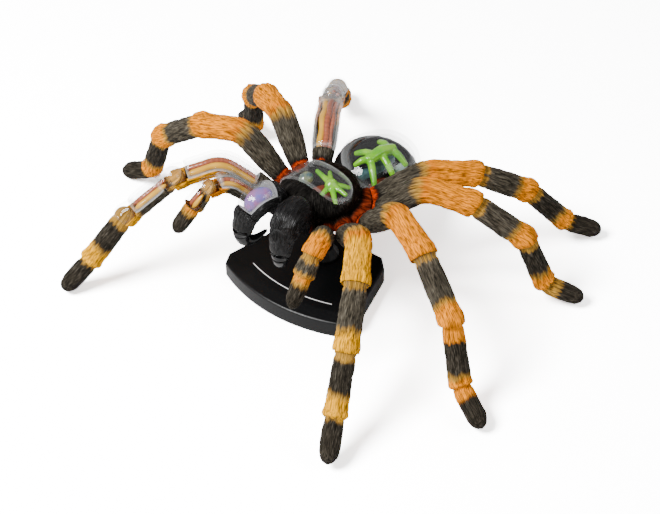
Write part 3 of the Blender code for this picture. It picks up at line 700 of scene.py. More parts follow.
def leg_tibia(name, hip, spots, axes, seed, clear, orange):
    start = spots[2] + axes[2] * SHOULDER
    line = rounded_line([start, spots[3], spots[3] + axes[3] * MOUTH], [(2.6, MOUTH)])
    total = line.length
    collar = ANKLE_BALL + BALL_PLAY + COLLAR_WALL
    radius = (
        [0, 0.5, 2.5, total * 0.5, total - 5.5, total - 3.2, total - 1.2, total],
        [*shares(TIBIA_R, 0.93, 0.96, 0.96, 1, 0.98), *shares(collar, 0.98, 1.02, 0.97)],
    )
    fur = ([0, 1.5, total - 0.8, total], [0.25, 1.0, 1.1, 0.55])
    knots = [
        (0, OCHRE), (0.2, OCHRE), (1.2, DARK_GREY), (3.5, DARK), (total * 0.63, DARK), (total * 0.71, OCHRE),
        (total * 0.78, orange), (total, orange),
    ]
    ends = ball_head(spots[2], axes[2], KNEE_BALL), cup_tail(spots[3], axes[3], ANKLE_BALL)
    cut = (TIBIA_CUT[0] - SHOULDER, total - TIBIA_CUT[1]) if clear else None
    node, body, join = name + "_tibia", name + "_shin", (0.4, 0.0)
    limb_section(node, body, hip, line, radius, fur, knots, seed, ends, cut, join=join)


def leg_foot(name, hip, spots, axes, seed, orange, start_band, toe_band, dark_to):
    start = spots[3] + axes[3] * SHOULDER
    line = rounded_line([start, spots[4], spots[5]], [(4.0, 4.0)])
    total = line.length
    toe_at = np.linalg.norm(spots[4] - start) - 0.5
    radius = (
        [0, 0.5, 2.5, toe_at * 0.5, toe_at - 3, toe_at - 0.7, toe_at, toe_at + 0.5, toe_at + 3,
         total - 5, total - 2.5, total - 1.0, total - 0.3, total],
        [*shares(METATARSUS_R, 0.92, 0.94, 0.94, 0.98, 1.02, 1.12, 1.04),
         *shares(TARSUS_R, 0.88, 0.98, 0.96, 0.8, 0.56, 0.3), 0.2],
    )
    fur = (
        [0, 1.5, toe_at - 0.5, toe_at + 0.5, toe_at + 1.5, total - 2.5, total],
        [0.25, 1.0, 1.2, 0.4, 1.0, 1.0, 0.3],
    )
    pale = ORANGE if start_band > 2 else OCHRE
    knots = [
        (0, pale), (start_band, pale), (start_band + 1.2, FOOT_DARK), (toe_at * dark_to, FOOT_DARK),
        (toe_at * (dark_to + 0.1), OCHRE), (toe_at * (dark_to + 0.17), orange), (toe_at, orange),
        (toe_at + 0.2, pale), (toe_at + toe_band, pale),
        (toe_at + toe_band + 1.8, FOOT_DARK), (total, FOOT_DARK),
    ]
    head = ball_head(spots[3], axes[3], ANKLE_BALL)
    build = Build()
    furry(build, line, (0, total), radius, knots, seed, fur, head)
    foot = name + "_foot"
    build.finish(foot + "_fur", SURFACES["fur"], foot, "leg_fur", [foot], place=hip.world)


# ---- feelers ------------------------------------------------------------------------------------
def make_palp(side):
    """Upper part and tip of one feeler."""
    name = "palp_" + side
    hip = Hip(PALP_HIP, PALP_HEADING, *PALP_SET[side], side)
    axes = section_axes(PALP_PITCH, PALP_BEND * hip.side)
    spots = joints_of(PALP_LENGTHS, axes)
    seed = 61 if side == "left" else 161
    line, total, knee_at = upper_line(spots, axes, (4.0, 3.5), 2.4)
    collar = PALP_BALL + BALL_PLAY + COLLAR_WALL
    radius = (
        [0, 1.5, 4.5, 9.0, knee_at, total - 5, total - 3, total - 1.2, total],
        [PALP_COXA_R - 0.5, PALP_COXA_R, *shares(PALP_R, 0.82, 0.98, 1.03, 0.97),
         *shares(collar, 0.96, 1.02, 0.97)],
    )
    fur = ([0, 2.0, 6.0, total - 0.8, total], [0, 0.15, 1.0, 1.1, 0.55])
    knots = [
        (0, RED_ORANGE), (0.8, RED_ORANGE), (2.6, BLACK), (knee_at + 1.5, DARK), (knee_at + 3, OCHRE),
        (knee_at + 4.5, ORANGE), (total, ORANGE),
    ]
    ends = peg_head(line.centres[0], OUTWARDS, PALP_COXA_R - 0.5), cup_tail(spots[2], axes[2], PALP_BALL)
    cut = (TROCHANTER + PALP_CUT[0], total - PALP_CUT[1]) if side == "right" else None
    limb_section(name + "_upper", name, hip, line, radius, fur, knots, seed, ends, cut, name)
    palp_tip(name, hip, spots, axes, seed + 3)


def palp_tip(name, hip, spots, axes, seed):
    start = spots[2] + axes[2] * SHOULDER
    line = rounded_line([start, spots[3], spots[4]], [(2.5, 2.5)])
    total = line.length
    toe_at = np.linalg.norm(spots[3] - start)
    radius = (
        [0, 0.5, 2.5, toe_at - 1.2, toe_at - 0.4, toe_at + 0.3, toe_at + 3, total - 4, total - 2, total - 0.8,
         total - 0.2, total],
        [*shares(PALP_R - 0.3, 0.94, 0.98, 0.98, 1.1, 1.04),
         *shares(PALP_R - 0.9, 0.92, 1.03, 0.94, 0.76, 0.5, 0.28), 0.2],
    )
    fur = ([0, 1.5, total - 2.5, total], [0.25, 1.0, 1.0, 0.3])
    knots = [
        (0, OCHRE), (0.2, OCHRE), (1.2, DARK_GREY), (2.5, DARK), (toe_at - 2.2, DARK), (toe_at - 1.0, OCHRE),
        (toe_at + 0.5, ORANGE), (toe_at + 2.5, OCHRE), (toe_at + 4.5, FOOT_DARK), (total, FOOT_DARK),
    ]
    glass = (-2.0, toe_at) if name == "palp_right" else None
    head = ball_head(spots[2], axes[2], PALP_BALL)
    build = Build()
    furry(build, line, (0, total), radius, knots, seed, fur, head, None, glass)
    body = name + "_tip"
    finish_fur(build, body, body, hip, name + "_lower")
    if glass:
        strands = Build()
        muscle(strands, line, (0.0, toe_at + 0.6), radius, seed)
        strands.finish(name + "_tip_strands", SURFACES["organ"], body, "muscle", [], None, hip.world)


# ---- jaws and fangs -----------------------------------------------------------------------------
def flipped(points, side):
    return [np.array([p[0] * side, p[1], p[2]]) for p in points]


def make_jaw(name):
    side = 1 if name == "left" else -1
    seed = 41 if name == "left" else 141
    out = np.array([0, -1.0, 0])
    peg = flipped([JAW_PEG], side)[0]
    hinge = flipped([FANG_HINGE], side)[0]
    fang = flipped(FANG_PATH, side)
    ahead = unit(fang[0] - hinge)
    centres, sizes = curve_through(flipped(JAW_PATH, side), JAW_RADII, 9)
    lip = hinge + ahead * MOUTH
    tail_run = rounded_line([centres[-1], hinge, lip], [(2.6, MOUTH)]).centres[1:]
    line = Line(np.concatenate([centres, tail_run]), JAW_CUT_ROLL if name == "right" else 0.0)
    total = line.length
    collar = FANG_BALL + BALL_PLAY + COLLAR_WALL
    places = list(line.along[: len(centres)]) + [total - 2.5, total - 1.0, total]
    radius = (places, list(sizes) + [collar * 1.02, collar * 1.03, collar])
    fur = ([0, 3.0, 9.0, total - 3.0, total - 1.0, total], [0.0, 0.3, 2.3, 1.9, 0.4, 0.0])
    knots = [(0, JAW_BLACK), (total, JAW_BLACK)]
    tip, rings = peg_head(peg, out, JAW_STUB_R)
    tail = cup_tail(hinge, ahead, FANG_BALL)
    build = Build()
    if name == "left":
        furry(build, line, (0, total), radius, knots, seed, fur, (tip, rings), tail)
    else:
        span = (line.along[9], line.along[27] - 1.2)
        furry(build, line, (0, span[0]), radius, knots, seed, fur, (tip, rings))
        trough(build, line, (span[0] - 0.1, span[1] + 0.8), radius, knots, seed)
        furry(build, line, (span[1], total), radius, knots, seed, fur, None, tail)
        cover, gland = Build(), Build()
        clear_cover(cover, line, span, radius)
        window = ["jaw_right_window"]
        cover.finish("jaw_right_clear", SURFACES["clear"], "jaw_window", "clear", window, CLEAR_SHARP)
        violet_gland(gland, line, span, radius)
        gland.finish("venom_gland_bulb", SURFACES["pearl"], "jaw_right", "gland_purple", ["venom_gland"])
    build.finish(f"jaw_{name}_fur", SURFACES["sleek"], "jaw_" + name, "black_fur", ["jaw_" + name])
    make_fang(name, hinge, ahead, fang)


def violet_gland(build, line, span, radius):
    """A plump gland that fills the room under the jaw's window."""
    used = line.between(span[0] + 0.4, span[1] - 0.4)
    grid = []
    for n, i in enumerate(used):
        room = np.interp(line.along[i], *radius) - COVER_SEAT
        swell = math.sin(math.pi * (n + 0.6) / (len(used) + 0.2)) ** 0.2
        middle = line.centres[i] + 0.2 * room * line.rise[i]
        grid.append(middle + 0.94 * room * swell * across(turns(32), line.level[i], 0.8 * line.rise[i]))
    add_tube(build, grid, linear((120, 96, 160)))


def make_fang(name, hinge, ahead, path):
    """A glossy claw on its ball, thick at the root and drawn to a point."""
    root = hinge + ahead * FANG_ROOT_AT
    centres, sizes = curve_through([root, *path], (FANG_ROOT_R, FANG_RADII[0] * 1.05, *FANG_RADII[1:]), 8)
    line = Line(centres)
    pole, rings = ball_rings(hinge, ahead, FANG_BALL, range(8, 121, 14))
    rings += [line.ring(i, np.full(SIDES, sizes[i]), turns(SIDES)) for i in range(len(centres))]
    tip = centres[-1] + line.axes[-1] * 0.7
    points = np.concatenate(rings + [np.array([pole, tip])])
    build = Build().add(points, capped(len(rings), SIDES), linear(BLACK))
    build.finish(f"fang_{name}_claw", SURFACES["claw"], "fang_" + name, "claw", ["fang_" + name])


# ---- shells -------------------------------------------------------------------------------------
def even_out(piece, voxel, calm_rounds):
    """Modifiers that give a piece an even, softened mesh."""
    even = piece.modifiers.new("even", "REMESH")
    even.mode = "VOXEL"
    even.voxel_size = voxel * MM
    calm = piece.modifiers.new("calm", "SMOOTH")
    calm.factor = 0.5
    calm.iterations = calm_rounds


def fine_copy(frame, node, voxel=0.42):
    """Points (mm), normals and faces of a CAD node's own shape as an even fine mesh."""
    source = frame["nodes"][node]
    temporary = bpy.data.objects.new("fine_copy", source.data.copy())
    bpy.context.scene.collection.objects.link(temporary)
    even_out(temporary, voxel, 3)
    mesh = bpy.data.meshes.new_from_object(temporary.evaluated_get(bpy.context.evaluated_depsgraph_get()))
    points = np.array([v.co for v in mesh.vertices]) / MM
    normals = np.array([v.normal for v in mesh.vertices])
    faces = [tuple(p.vertices) for p in mesh.polygons]
    bpy.data.objects.remove(temporary)
    return points, normals, faces


def turned(away):
    """Bearing in plan of every place, and its distance from the middle."""
    return np.arctan2(away[:, 1], away[:, 0]), np.hypot(away[:, 0], away[:, 1])


def on_ellipsoid(points, centre, half, low, high):
    """Points of the outer skin moved onto the true ellipsoid, and how much each belongs to it."""
    away = (points - centre) / half
    size = np.linalg.norm(away, axis=1)
    share = np.clip((size - low) / 0.02, 0, 1) * np.clip((high - size) / 0.03, 0, 1)
    target = centre + away / size[:, None] * half
    return points + (target - points) * share[:, None], share, size


def carapace_shell(frame):
    points, normals, faces = fine_copy(frame, "carapace_shell")
    centre = np.array([0, BODY_Y, SEAM_Z + GAP])
    points, share, size = on_ellipsoid(points, centre, np.array(CARAPACE_HALF), 0.945, 1.05)
    away = points - centre
    turn, plan = turned(away)
    along = plan + (CARAPACE_HALF[2] - away[:, 2])
    flow = straightened(along, 12, turn)
    height = np.where(size > 0.945, tufts(flow, 7, 1.2), 0.2)
    keep = np.clip((points[:, 2] - SEAM_Z - GAP) / 1.2, 0.1, 1)
    points = points + normals * (0.75 * share * keep * (height - 0.35))[:, None]
    front = np.clip((-points[:, 1] - 4) / 6, 0, 1)[:, None]
    colour = linear(BROWN_BLACK) * (1 - front) + linear(BLACK) * front
    build = Build().add(points, faces, colour, height, flow)
    build.finish("carapace_fur", SURFACES["fur"], "body", "black_fur", ["carapace_shell"])


def belly_shell(frame):
    points, normals, faces = fine_copy(frame, "belly_shell", 0.5)
    centre = np.array(BELLY_CENTRE)
    points, share, size = on_ellipsoid(points, centre, np.array(BELLY_HALF), 0.955, 1.03)
    away = points - centre
    turn = np.arctan2(away[:, 2], away[:, 0])
    flow = straightened(points[:, 1], 14, turn)
    height = np.where(size > 0.955, tufts(flow, 17, 1.3), 0.2)
    below = (np.array(BELLY_CUT_POINT) - points) @ unit(np.array(BELLY_CUT_NORMAL))
    keep = np.clip(below / 1.5, 0, 1)
    points = points + normals * (0.9 * share * keep * (height - 0.3))[:, None]
    build = Build().add(points, faces, linear((21, 19, 18)), height, flow)
    build.finish("belly_fur", SURFACES["fur"], "body", "black_fur", ["belly_shell"])


def underside(frame):
    points, normals, faces = fine_copy(frame, "body_underside")
    centre = np.array([0, BODY_Y, SEAM_Z])
    points, share, size = on_ellipsoid(points, centre, np.array(BODY_HALF), 0.96, 1.04)
    away = points - centre
    turn, plan = turned(away)
    flow = straightened(plan, 13, turn)
    height = tufts(flow, 27)
    points = points + normals * (0.5 * share * (height - 0.3) * np.clip(-away[:, 2] / 2, 0, 1))[:, None]
    red = 0.3 * (np.clip((size - 1.0) / 0.06, 0, 1) * np.clip((plan - 16.8) / 1.5, 0, 1))[:, None]
    colour = linear(BROWN_BLACK) * (1 - red) + linear(RED_ORANGE) * red
    build = Build().add(points, faces, colour, height, flow)
    build.finish("underside_fur", SURFACES["fur"], "body", "black_fur", ["body_underside"])


# ---- clear windows ------------------------------------------------------------------------------
def carapace_window():
    """The clear saddle across the carapace, with a bead round its edge that carries a painted highlight."""
    rows, columns = 41, 61
    reach = WINDOW_HALF - GAP
    middle = WINDOW_TIP - WINDOW_HALF
    skins = []
    for inner in (False, True):
        half = np.array(CARAPACE_HALF) - (CARAPACE_WALL if inner else -0.1)
        points = []
        for i in range(rows):
            share_y = -math.cos(math.pi * i / (rows - 1))
            y = WINDOW_Y + reach * share_y - BODY_Y
            flank = math.sqrt(1 - (y / half[1]) ** 2)
            tip = middle + reach * math.sqrt(max(0.0, 1 - share_y**2))
            stop = math.acos(min(0.999, tip / (half[0] * flank)))
            edge_y = reach * (1 - abs(share_y))
            for j in range(columns):
                share = j / (columns - 1)
                a = math.pi + (stop - math.pi) * share
                x, z = half[0] * flank * math.cos(a), half[2] * flank * math.sin(a)
                points.append((x, y, z, min(edge_y, 14.0 * (1 - share), 14.0 * share + 0.4)))
        skins.append(np.array(points))
    outer, inner = skins
    bead = np.exp(-((outer[:, 3] / 0.6) ** 2))
    out = unit(outer[:, :3] / np.array(CARAPACE_HALF) ** 2)
    outer_points = outer[:, :3] + out * (0.45 * bead)[:, None]
    centre = np.array([0, BODY_Y, SEAM_Z + GAP])
    points = np.concatenate([outer_points, inner[:, :3]]) + centre
    faces = sheet_pair(rows, columns)
    # the bead's share, as lift, paints the rim whitish: a painted highlight
    build = Build().add(points, faces, linear(WHITE), np.concatenate([bead, bead]) * 0.45)
    lid = "carapace_window"
    build.finish("carapace_clear", SURFACES["clear"], lid, "clear", [lid], CLEAR_SHARP)


def sheet_pair(rows, columns):
    """Faces of two open sheets of points joined round their edges."""
    size = rows * columns
    faces = []
    for j in range(rows - 1):
        for i in range(columns - 1):
            a = j * columns + i
            faces.append((a, a + 1, a + columns + 1, a + columns))
            faces.append((a + size, a + size + columns, a + size + columns + 1, a + size + 1))
    border = list(range(columns)) + [j * columns + columns - 1 for j in range(1, rows)]
    border += [(rows - 1) * columns + i for i in range(columns - 2, -1, -1)]
    border += [j * columns for j in range(rows - 2, 0, -1)]
    for k, a in enumerate(border):
        b = border[(k + 1) % len(border)]
        faces.append((a, b, b + size, a + size))
    return faces


def reach_ellipsoid(start, directions, centre, half):
    """How far each direction runs from start to the ellipsoid round centre."""
    p = (start - centre) / half
    d = directions / half
    a = (d * d).sum(axis=1)
    b = d @ p
    c = p @ p - 1
    return (-b + np.sqrt(b * b - a * c)) / a


def belly_window():
    """The clear dome over the belly, with a thick round rim that carries a painted highlight."""
    sides, rows = 96, 40
    normal = unit(np.array(BELLY_CUT_NORMAL))
    level = unit(np.cross(np.array([0, 1.0, 0]), normal))
    rise = np.cross(normal, level)
    start = np.array(BELLY_CUT_POINT) + normal * (GAP + 0.02)
    ring = across(turns(sides), level, rise)
    half = np.array(BELLY_HALF)
    skins, beads = [], []
    for grown_by in (WINDOW_PROUD, -BELLY_WALL):
        grid = []
        for i in range(rows):
            a = math.radians(90) * (1 - i / rows)
            directions = math.sin(a) * ring + math.cos(a) * normal
            length = reach_ellipsoid(start, directions, np.array(BELLY_CENTRE), half + grown_by)
            bead = math.exp(-((i / rows * 20 / 0.9) ** 2))
            if grown_by > 0:
                length = length + 0.45 * bead
                beads.append(np.full(sides, bead))
            grid.append(start + directions * length[:, None])
        skins.append(grid)
    outer, inner = skins
    rings = inner[::-1] + outer
    lift = np.concatenate(beads[::-1] + beads)
    inner_top = inner[-1].mean(axis=0) + normal * 0.02
    outer_top = outer[-1].mean(axis=0) + normal * 0.02
    points = np.concatenate(rings + [np.array([inner_top, outer_top])])
    # the bead's share, as lift, paints the rim whitish: a painted highlight
    height = np.concatenate([lift, [0.0, 0.0]]) * 0.4
    build = Build().add(points, capped(len(rings), sides), linear(WHITE), height)
    lid = "belly_window"
    build.finish("belly_clear", SURFACES["clear"], lid, "clear", [lid], CLEAR_SHARP)


# ---- stand --------------------------------------------------------------------------------------
def stand_outline(inset):
    """The base seen from above, drawn in by inset: curved front, straight sides and back, cut corners."""
    radius = (STAND_FRONT_HALF**2 + STAND_ARC_DEPTH**2) / (2 * STAND_ARC_DEPTH)
    centre_y = STAND_FRONT_Y - STAND_ARC_DEPTH + radius
    reach = math.asin(STAND_FRONT_HALF / radius)
    outline = []
    for i in range(ARC_POINTS):
        a = reach * (2 * i / (ARC_POINTS - 1) - 1)
        outline.append((radius * math.sin(a), centre_y - radius * math.cos(a)))
    cut_y = STAND_BACK_Y - STAND_CHAMFER
    side = [(STAND_FRONT_HALF + STAND_FRONT_CUT[0], STAND_FRONT_Y + STAND_FRONT_CUT[1])]
    side += [(STAND_BACK_HALF, cut_y), (STAND_BACK_HALF - STAND_CHAMFER, STAND_BACK_Y)]
    outline += side + [(-x, y) for x, y in reversed(side)]
    corners = np.array(outline)
    before, after = np.roll(corners, 1, axis=0), np.roll(corners, -1, axis=0)
    first, second = unit(corners - before), unit(after - corners)
    inward_first = np.stack([-first[:, 1], first[:, 0]], axis=1)
    inward_second = np.stack([-second[:, 1], second[:, 0]], axis=1)
    middle = unit(inward_first + inward_second)
    corners = corners + middle * (inset / (middle * inward_first).sum(axis=1))[:, None]
    turn = math.radians(STAND_TURN)
    spin = np.array([[math.cos(turn), -math.sin(turn)], [math.sin(turn), math.cos(turn)]])
    pivot = np.array([0, POST_Y])
    return (corners - pivot) @ spin.T + pivot


def stand():
    """The base: its top has a crease along the front, and slopes a little down from there."""
    rings = []
    foot = ((0.5, 0.0), (0.1, 0.4), (0.0, 1.0))
    shoulder = ((0.0, STAND_HEIGHT - 1.0), (0.15, STAND_HEIGHT - 0.45), (0.55, STAND_HEIGHT - 0.1))
    for inset, z in (*foot, *shoulder, (1.1, STAND_HEIGHT)):
        plan = stand_outline(inset)
        drop = np.zeros(len(plan))
        drop[:ARC_POINTS] = STAND_FRONT_DROP * z / STAND_HEIGHT
        rings.append(np.column_stack([plan, z - drop]))
    sides = len(rings[0])
    crease = np.column_stack([stand_outline(STAND_CREASE)[:ARC_POINTS], np.full(ARC_POINTS, STAND_HEIGHT)])
    top, middle = (len(rings) - 1) * sides, len(rings) * sides
    faces = grid_faces(len(rings), sides)
    faces.append(tuple(range(sides)))
    for i in range(ARC_POINTS - 1):
        faces.append((top + i, top + i + 1, middle + i + 1, middle + i))
    faces.append((top + ARC_POINTS - 1, top + ARC_POINTS, middle + ARC_POINTS - 1))
    faces.append((top + sides - 1, top, middle))
    faces.append(tuple(range(middle, middle + ARC_POINTS)) + tuple(range(top + ARC_POINTS, top + sides)))
    build = Build().add(np.concatenate(rings + [crease]), faces, linear(BLACK))
    build.finish("stand_plate", SURFACES["black"], "stand", "black_plastic", ["stand_base"], 5)
    stand_line()


def stand_line():
    """A plain pale line along the stand's front, in place of the lettering there."""
    rows = []
    near, far, proud = LINE_INSET, LINE_INSET + LINE_WIDE, 0.06
    for inset, z in ((near, 0.0), (near, proud), (far, proud), (far, 0.0)):
        plan = stand_outline(inset)[3 : ARC_POINTS - 3]
        rows.append(np.column_stack([plan, np.full(len(plan), STAND_HEIGHT + z)]))
    points = np.stack(rows, axis=1).reshape(-1, 3)
    build = Build().add(points, solid_grid(len(rows[0]), len(rows)), linear((235, 235, 235)))
    build.finish("stand_line", SURFACES["organ"], "stand", "black_plastic", [], 30)


# ---- surfaces -----------------------------------------------------------------------------------
class Nodes:
    """Short ways to add and join a material's nodes."""

    def __init__(self, name):
        self.material = bpy.data.materials.new(name)
        self.material.use_nodes = True
        self.tree = self.material.node_tree
        self.main = self.tree.nodes["Principled BSDF"]
        self.out = self.tree.nodes["Material Output"]

    def add(self, kind, inputs=(), **settings):
        node = self.tree.nodes.new(kind)
        for key, value in settings.items():
            setattr(node, key, value)
        for key, value in dict(inputs).items():
            self.put(node, key, value)
        return node

    def put(self, node, key, value):
        if isinstance(value, bpy.types.NodeSocket):
            self.tree.links.new(value, node.inputs[key])
        else:
            node.inputs[key].default_value = value

    def attribute(self, name, output="Fac"):
        return self.add("ShaderNodeAttribute", attribute_name=name).outputs[output]

    def place(self):
        return self.add("ShaderNodeTexCoord").outputs["Object"]

    def finish(self, inputs):
        """Sets or links inputs of the main shader."""
        for key, value in inputs.items():
            self.put(self.main, key, value)
        return self.material

    def blended(self, share, first, second):
        """A mix of two shaders."""
        node = self.add("ShaderNodeMixShader", {0: share})
        self.tree.links.new(first.outputs[0], node.inputs[1])
        self.tree.links.new(second.outputs[0], node.inputs[2])
        return node

    def math(self, operation, *values):
        node = self.add("ShaderNodeMath", dict(enumerate(values)), operation=operation)
        return node.outputs[0]

    def span(self, value, low, high, first=0.0, second=1.0):
        settings = {0: value, 1: low, 2: high, 3: first, 4: second}
        return self.add("ShaderNodeMapRange", settings).outputs[0]

    def mix(self, share, first, second, blend="MIX"):
        node = self.add("ShaderNodeMix", data_type="RGBA", blend_type=blend)
        self.put(node, 0, share)
        self.put(node, 6, first)
        self.put(node, 7, second)
        return node.outputs[2]

    def noise(self, vector, scale, detail=3.0):
        node = self.add("ShaderNodeTexNoise", {"Vector": vector, "Scale": scale, "Detail": detail})
        return node.outputs[0]

    def stretched(self, vector, scale):
        node = self.add("ShaderNodeVectorMath", {0: vector, 1: scale}, operation="MULTIPLY")
        return node.outputs[0]

    def bump(self, height, distance, strength=1.0):
        settings = {"Height": height, "Distance": distance * MM, "Strength": strength}
        self.put(self.main, "Normal", self.add("ShaderNodeBump", settings).outputs[0])


def rgba(colour):
    return (*linear(colour), 1.0)


def fur_surface(name, roughness, specular, highlight_strength):
    """Moulded hair: painted shade between the tufts, a painted highlight on top of them, with fine strands.
    """
    n = Nodes(name)
    tint = n.attribute("tint", "Color")
    lift = n.attribute("lift")
    run = n.attribute("run", "Vector")
    strands = n.noise(n.stretched(run, (0.3, 3.0, 3.0)), 1.0, 3.0)
    coarse = n.noise(n.stretched(run, (0.15, 0.8, 0.8)), 1.0, 2.0)
    # painted shade: where the lift is low, down between the tufts, the hair's colour is darkened to a quarter
    crevice_shade = n.span(lift, 0.12, 0.5, 0.25, 1.0)
    shade = n.math("MULTIPLY", crevice_shade, n.span(strands, 0.38, 0.6, 0.38, 1.2))
    grey = n.add("ShaderNodeCombineXYZ", {0: shade, 1: shade, 2: shade}).outputs[0]
    base = n.mix(1.0, tint, grey, "MULTIPLY")
    # painted highlight: a lighter copy of the hair's colour, laid where the lift and the strands are high, on
    # the tufts' tops
    pale = n.add("ShaderNodeGamma", {"Color": tint, "Gamma": 0.68}).outputs[0]
    red = n.add("ShaderNodeSeparateColor", {"Color": tint}).outputs[0]
    bright = n.mix(1.0, tint, (1.12, 1.2, 1.3, 1), "MULTIPLY")
    painted_highlight = n.mix(n.span(red, 0.1, 0.4), pale, bright)
    top = n.math("MULTIPLY", n.span(lift, 0.42, 0.85), n.span(strands, 0.48, 0.6))
    top = n.math("MULTIPLY", top, n.span(coarse, 0.4, 0.6, 0.35, 1.0))
    colour = n.mix(n.math("MULTIPLY", top, highlight_strength), base, painted_highlight)
    n.bump(n.math("ADD", strands, n.math("MULTIPLY", lift, 0.3)), 0.9, 1.0)
    return n.finish({"Base Color": colour, "Roughness": roughness, "Specular IOR Level": specular})


def clear_surface():
    """Thin polished clear plastic; where its lift is high it turns whitish, a painted highlight that stands
    in for the glints along thick edges.
    """
    n = Nodes("clear_plastic")
    mirror = n.add("ShaderNodeBsdfAnisotropic", {"Color": (1, 1, 1, 1), "Roughness": 0.03})
    through = n.add("ShaderNodeBsdfTransparent", {"Color": (0.98, 0.983, 0.986, 1)})
    glance = n.add("ShaderNodeFresnel", {"IOR": 1.4}).outputs[0]
    base = n.blended(n.math("MINIMUM", n.math("MULTIPLY", glance, 0.7), 0.14), through, mirror)
    # painted highlight: a whitish surface mixed in by the lift along edges and ends
    rim_glint = n.add("ShaderNodeBsdfPrincipled", {"Base Color": (0.85, 0.86, 0.86, 1), "Roughness": 0.12})
    cover = n.blended(n.math("MULTIPLY", n.attribute("lift"), 0.22), base, rim_glint)
    n.tree.links.new(cover.outputs[0], n.out.inputs["Surface"])
    return n.material


def organ_surface():
    """Glossy painted strands that carry their own colour."""
    n = Nodes("painted_organ")
    tint = n.attribute("tint", "Color")
    n.bump(n.noise(n.place(), 900.0), 0.12, 0.6)
    return n.finish({"Base Color": tint, "Roughness": 0.3, "Coat Weight": 0.4})


def gloss_surface(name, first, second, scale=180.0, roughness=0.22, relief=0.25, coat=0.5, specular=0.5):
    """Glossy painted plastic that drifts between two colours."""
    n = Nodes(name)
    place = n.place()
    colour = n.mix(n.span(n.noise(place, scale), 0.38, 0.62), rgba(first), rgba(second))
    n.bump(n.noise(place, scale * 3), relief, 0.6)
    shine = {"Roughness": roughness, "Coat Weight": coat, "Specular IOR Level": specular}
    return n.finish({"Base Color": colour, **shine})


def black_surface():
    """Satin black plastic with a fine grain."""
    n = Nodes("satin_black")
    place = n.place()
    rough = n.span(n.noise(place, 1500.0), 0.35, 0.65, 0.3, 0.42)
    n.bump(n.noise(place, 6000.0), 0.02, 0.4)
    return n.finish({"Base Color": rgba((9, 9, 10)), "Roughness": rough, "Specular IOR Level": 0.18})


ORGAN_LOOKS = {
    # node: first colour, second colour
    "stomach": ((88, 164, 0), (128, 192, 4)),
    "gut_tree": ((88, 164, 0), (128, 192, 4)),
    "brain": ((58, 84, 92), (150, 148, 84)),
    "front_gland": ((34, 62, 58), (70, 98, 88)),
    "silk_gland": ((26, 56, 62), (66, 100, 100)),
    "ovary": ((136, 166, 160), (176, 196, 190)),
    "front_muscle": ((80, 24, 10), (120, 52, 24)),
    "hind_gut": ((90, 30, 12), (118, 42, 16)),
    "book_lung": ((136, 124, 26), (176, 160, 48)),
}


def dress_organs(frame):
    """Rounds the CAD's organs off and paints them."""
    for node, (first, second) in ORGAN_LOOKS.items():
        piece = frame["nodes"][node]
        even_out(piece, 0.3, 12)
        piece.data.materials.clear()
        piece.data.materials.append(gloss_surface(node + "_paint", first, second))
        for polygon in piece.data.polygons:
            polygon.material_index = 0
            polygon.use_smooth = True


# ---- studio -------------------------------------------------------------------------------------
def towards(bearing, height):
    """The direction from the model to a camera or light at this bearing and height."""
    a, e = math.radians(bearing), math.radians(height)
    return Vector((math.sin(a) * math.cos(e), -math.cos(a) * math.cos(e), math.sin(e)))


def area_light(name, bearing, height, distance, size, power):
    """A soft light that looks at the model."""
    back = towards(bearing, height)
    data = bpy.data.lights.new(name, "AREA")
    data.shape = "DISK"
    data.size = size
    data.energy = power
    lamp = bpy.data.objects.new(name, data)
    lamp.location = back * distance + Vector((0, 0, 0.03))
    lamp.rotation_euler = back.to_track_quat("Z", "Y").to_euler()
    bpy.context.scene.collection.objects.link(lamp)


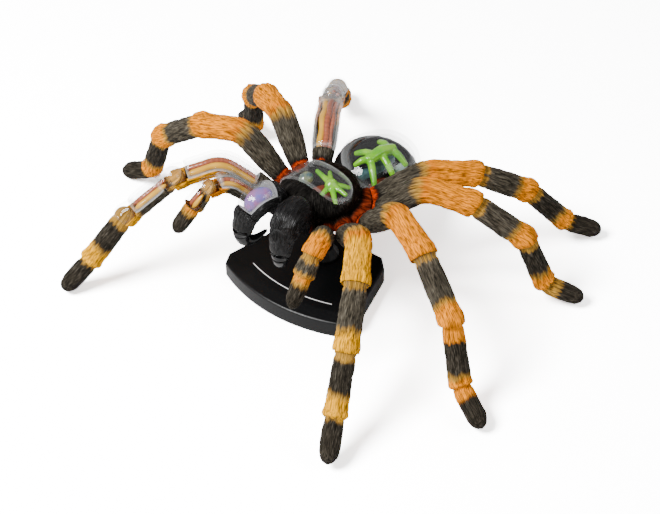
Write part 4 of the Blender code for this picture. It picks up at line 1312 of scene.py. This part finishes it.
def studio():
    scene = bpy.context.scene
    mesh = bpy.data.meshes.new("floor")
    corners = [(x * FLOOR_REACH, y * FLOOR_REACH, 0) for x, y in ((-1, -1), (1, -1), (1, 1), (-1, 1))]
    mesh.from_pydata(corners, [], [(0, 1, 2, 3)])
    floor = bpy.data.objects.new("floor", mesh)
    scene.collection.objects.link(floor)
    paper = Nodes("paper")
    mesh.materials.append(paper.finish({"Base Color": (0.8, 0.8, 0.8, 1), "Roughness": 0.9}))
    seen = paper.add("ShaderNodeBsdfDiffuse", {"Color": (*[PAPER_WHITE] * 3, 1)})
    to_camera = paper.add("ShaderNodeLightPath").outputs["Is Camera Ray"]
    mixed = paper.blended(to_camera, paper.main, seen)
    paper.tree.links.new(mixed.outputs[0], paper.out.inputs["Surface"])
    world = bpy.data.worlds.new("studio")
    world.use_nodes = True
    background = world.node_tree.nodes["Background"]
    background.inputs[0].default_value = (1, 1, 1, 1)
    background.inputs[1].default_value = WORLD_LIGHT
    scene.world = world
    for name, (turned, *settings) in LIGHTS.items():
        area_light(name, VIEW_BEARING + turned, *settings)


def camera():
    back = towards(VIEW_BEARING, VIEW_HEIGHT)
    data = bpy.data.cameras.new("camera")
    data.lens = VIEW_LENS
    data.sensor_width = 36
    data.clip_start = 0.01
    cam = bpy.data.objects.new("camera", data)
    cam.location = (Vector(VIEW_AIM) + back * VIEW_DISTANCE) * MM
    turn = back.to_track_quat("Z", "Y") @ Matrix.Rotation(math.radians(-VIEW_ROLL), 3, "Z").to_quaternion()
    cam.rotation_mode = "QUATERNION"
    cam.rotation_quaternion = turn
    bpy.context.scene.collection.objects.link(cam)
    bpy.context.scene.camera = cam


# ---- the scene ----------------------------------------------------------------------------------
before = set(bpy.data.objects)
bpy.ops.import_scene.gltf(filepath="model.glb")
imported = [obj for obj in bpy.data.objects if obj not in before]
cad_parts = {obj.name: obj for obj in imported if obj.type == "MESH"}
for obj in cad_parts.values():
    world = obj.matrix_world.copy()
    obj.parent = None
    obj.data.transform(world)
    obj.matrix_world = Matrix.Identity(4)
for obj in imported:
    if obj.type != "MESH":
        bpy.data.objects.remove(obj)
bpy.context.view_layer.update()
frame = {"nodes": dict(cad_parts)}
GLASS = clear_surface()
SURFACES = {
    # fur paints: roughness, specular, then the strength of the painted highlight on the tufts
    "fur": fur_surface("moulded_fur", 0.55, 0.03, 0.9),
    "sleek": fur_surface("sleek_fur", 0.34, 0.3, 0.5),
    "clear": GLASS,
    "organ": organ_surface(),
    "pearl": gloss_surface("pearl_violet", (150, 98, 142), (108, 102, 172), 200.0, 0.15),
    "claw": gloss_surface("gloss_claw", (9, 9, 10), (14, 14, 15), 90.0, 0.22, 0.08, 0.0, 0.3),
    "black": black_surface(),
}
for side in ("left", "right"):
    for number in LEG_PAIRS:
        make_leg(side, number)
    make_palp(side)
    make_jaw(side)
carapace_shell(frame)
belly_shell(frame)
underside(frame)
carapace_window()
belly_window()
stand()
dress_organs(frame)
post = frame["nodes"]["stand_post"]
post.data.materials.clear()
post.data.materials.append(SURFACES["black"])
studio()
camera()
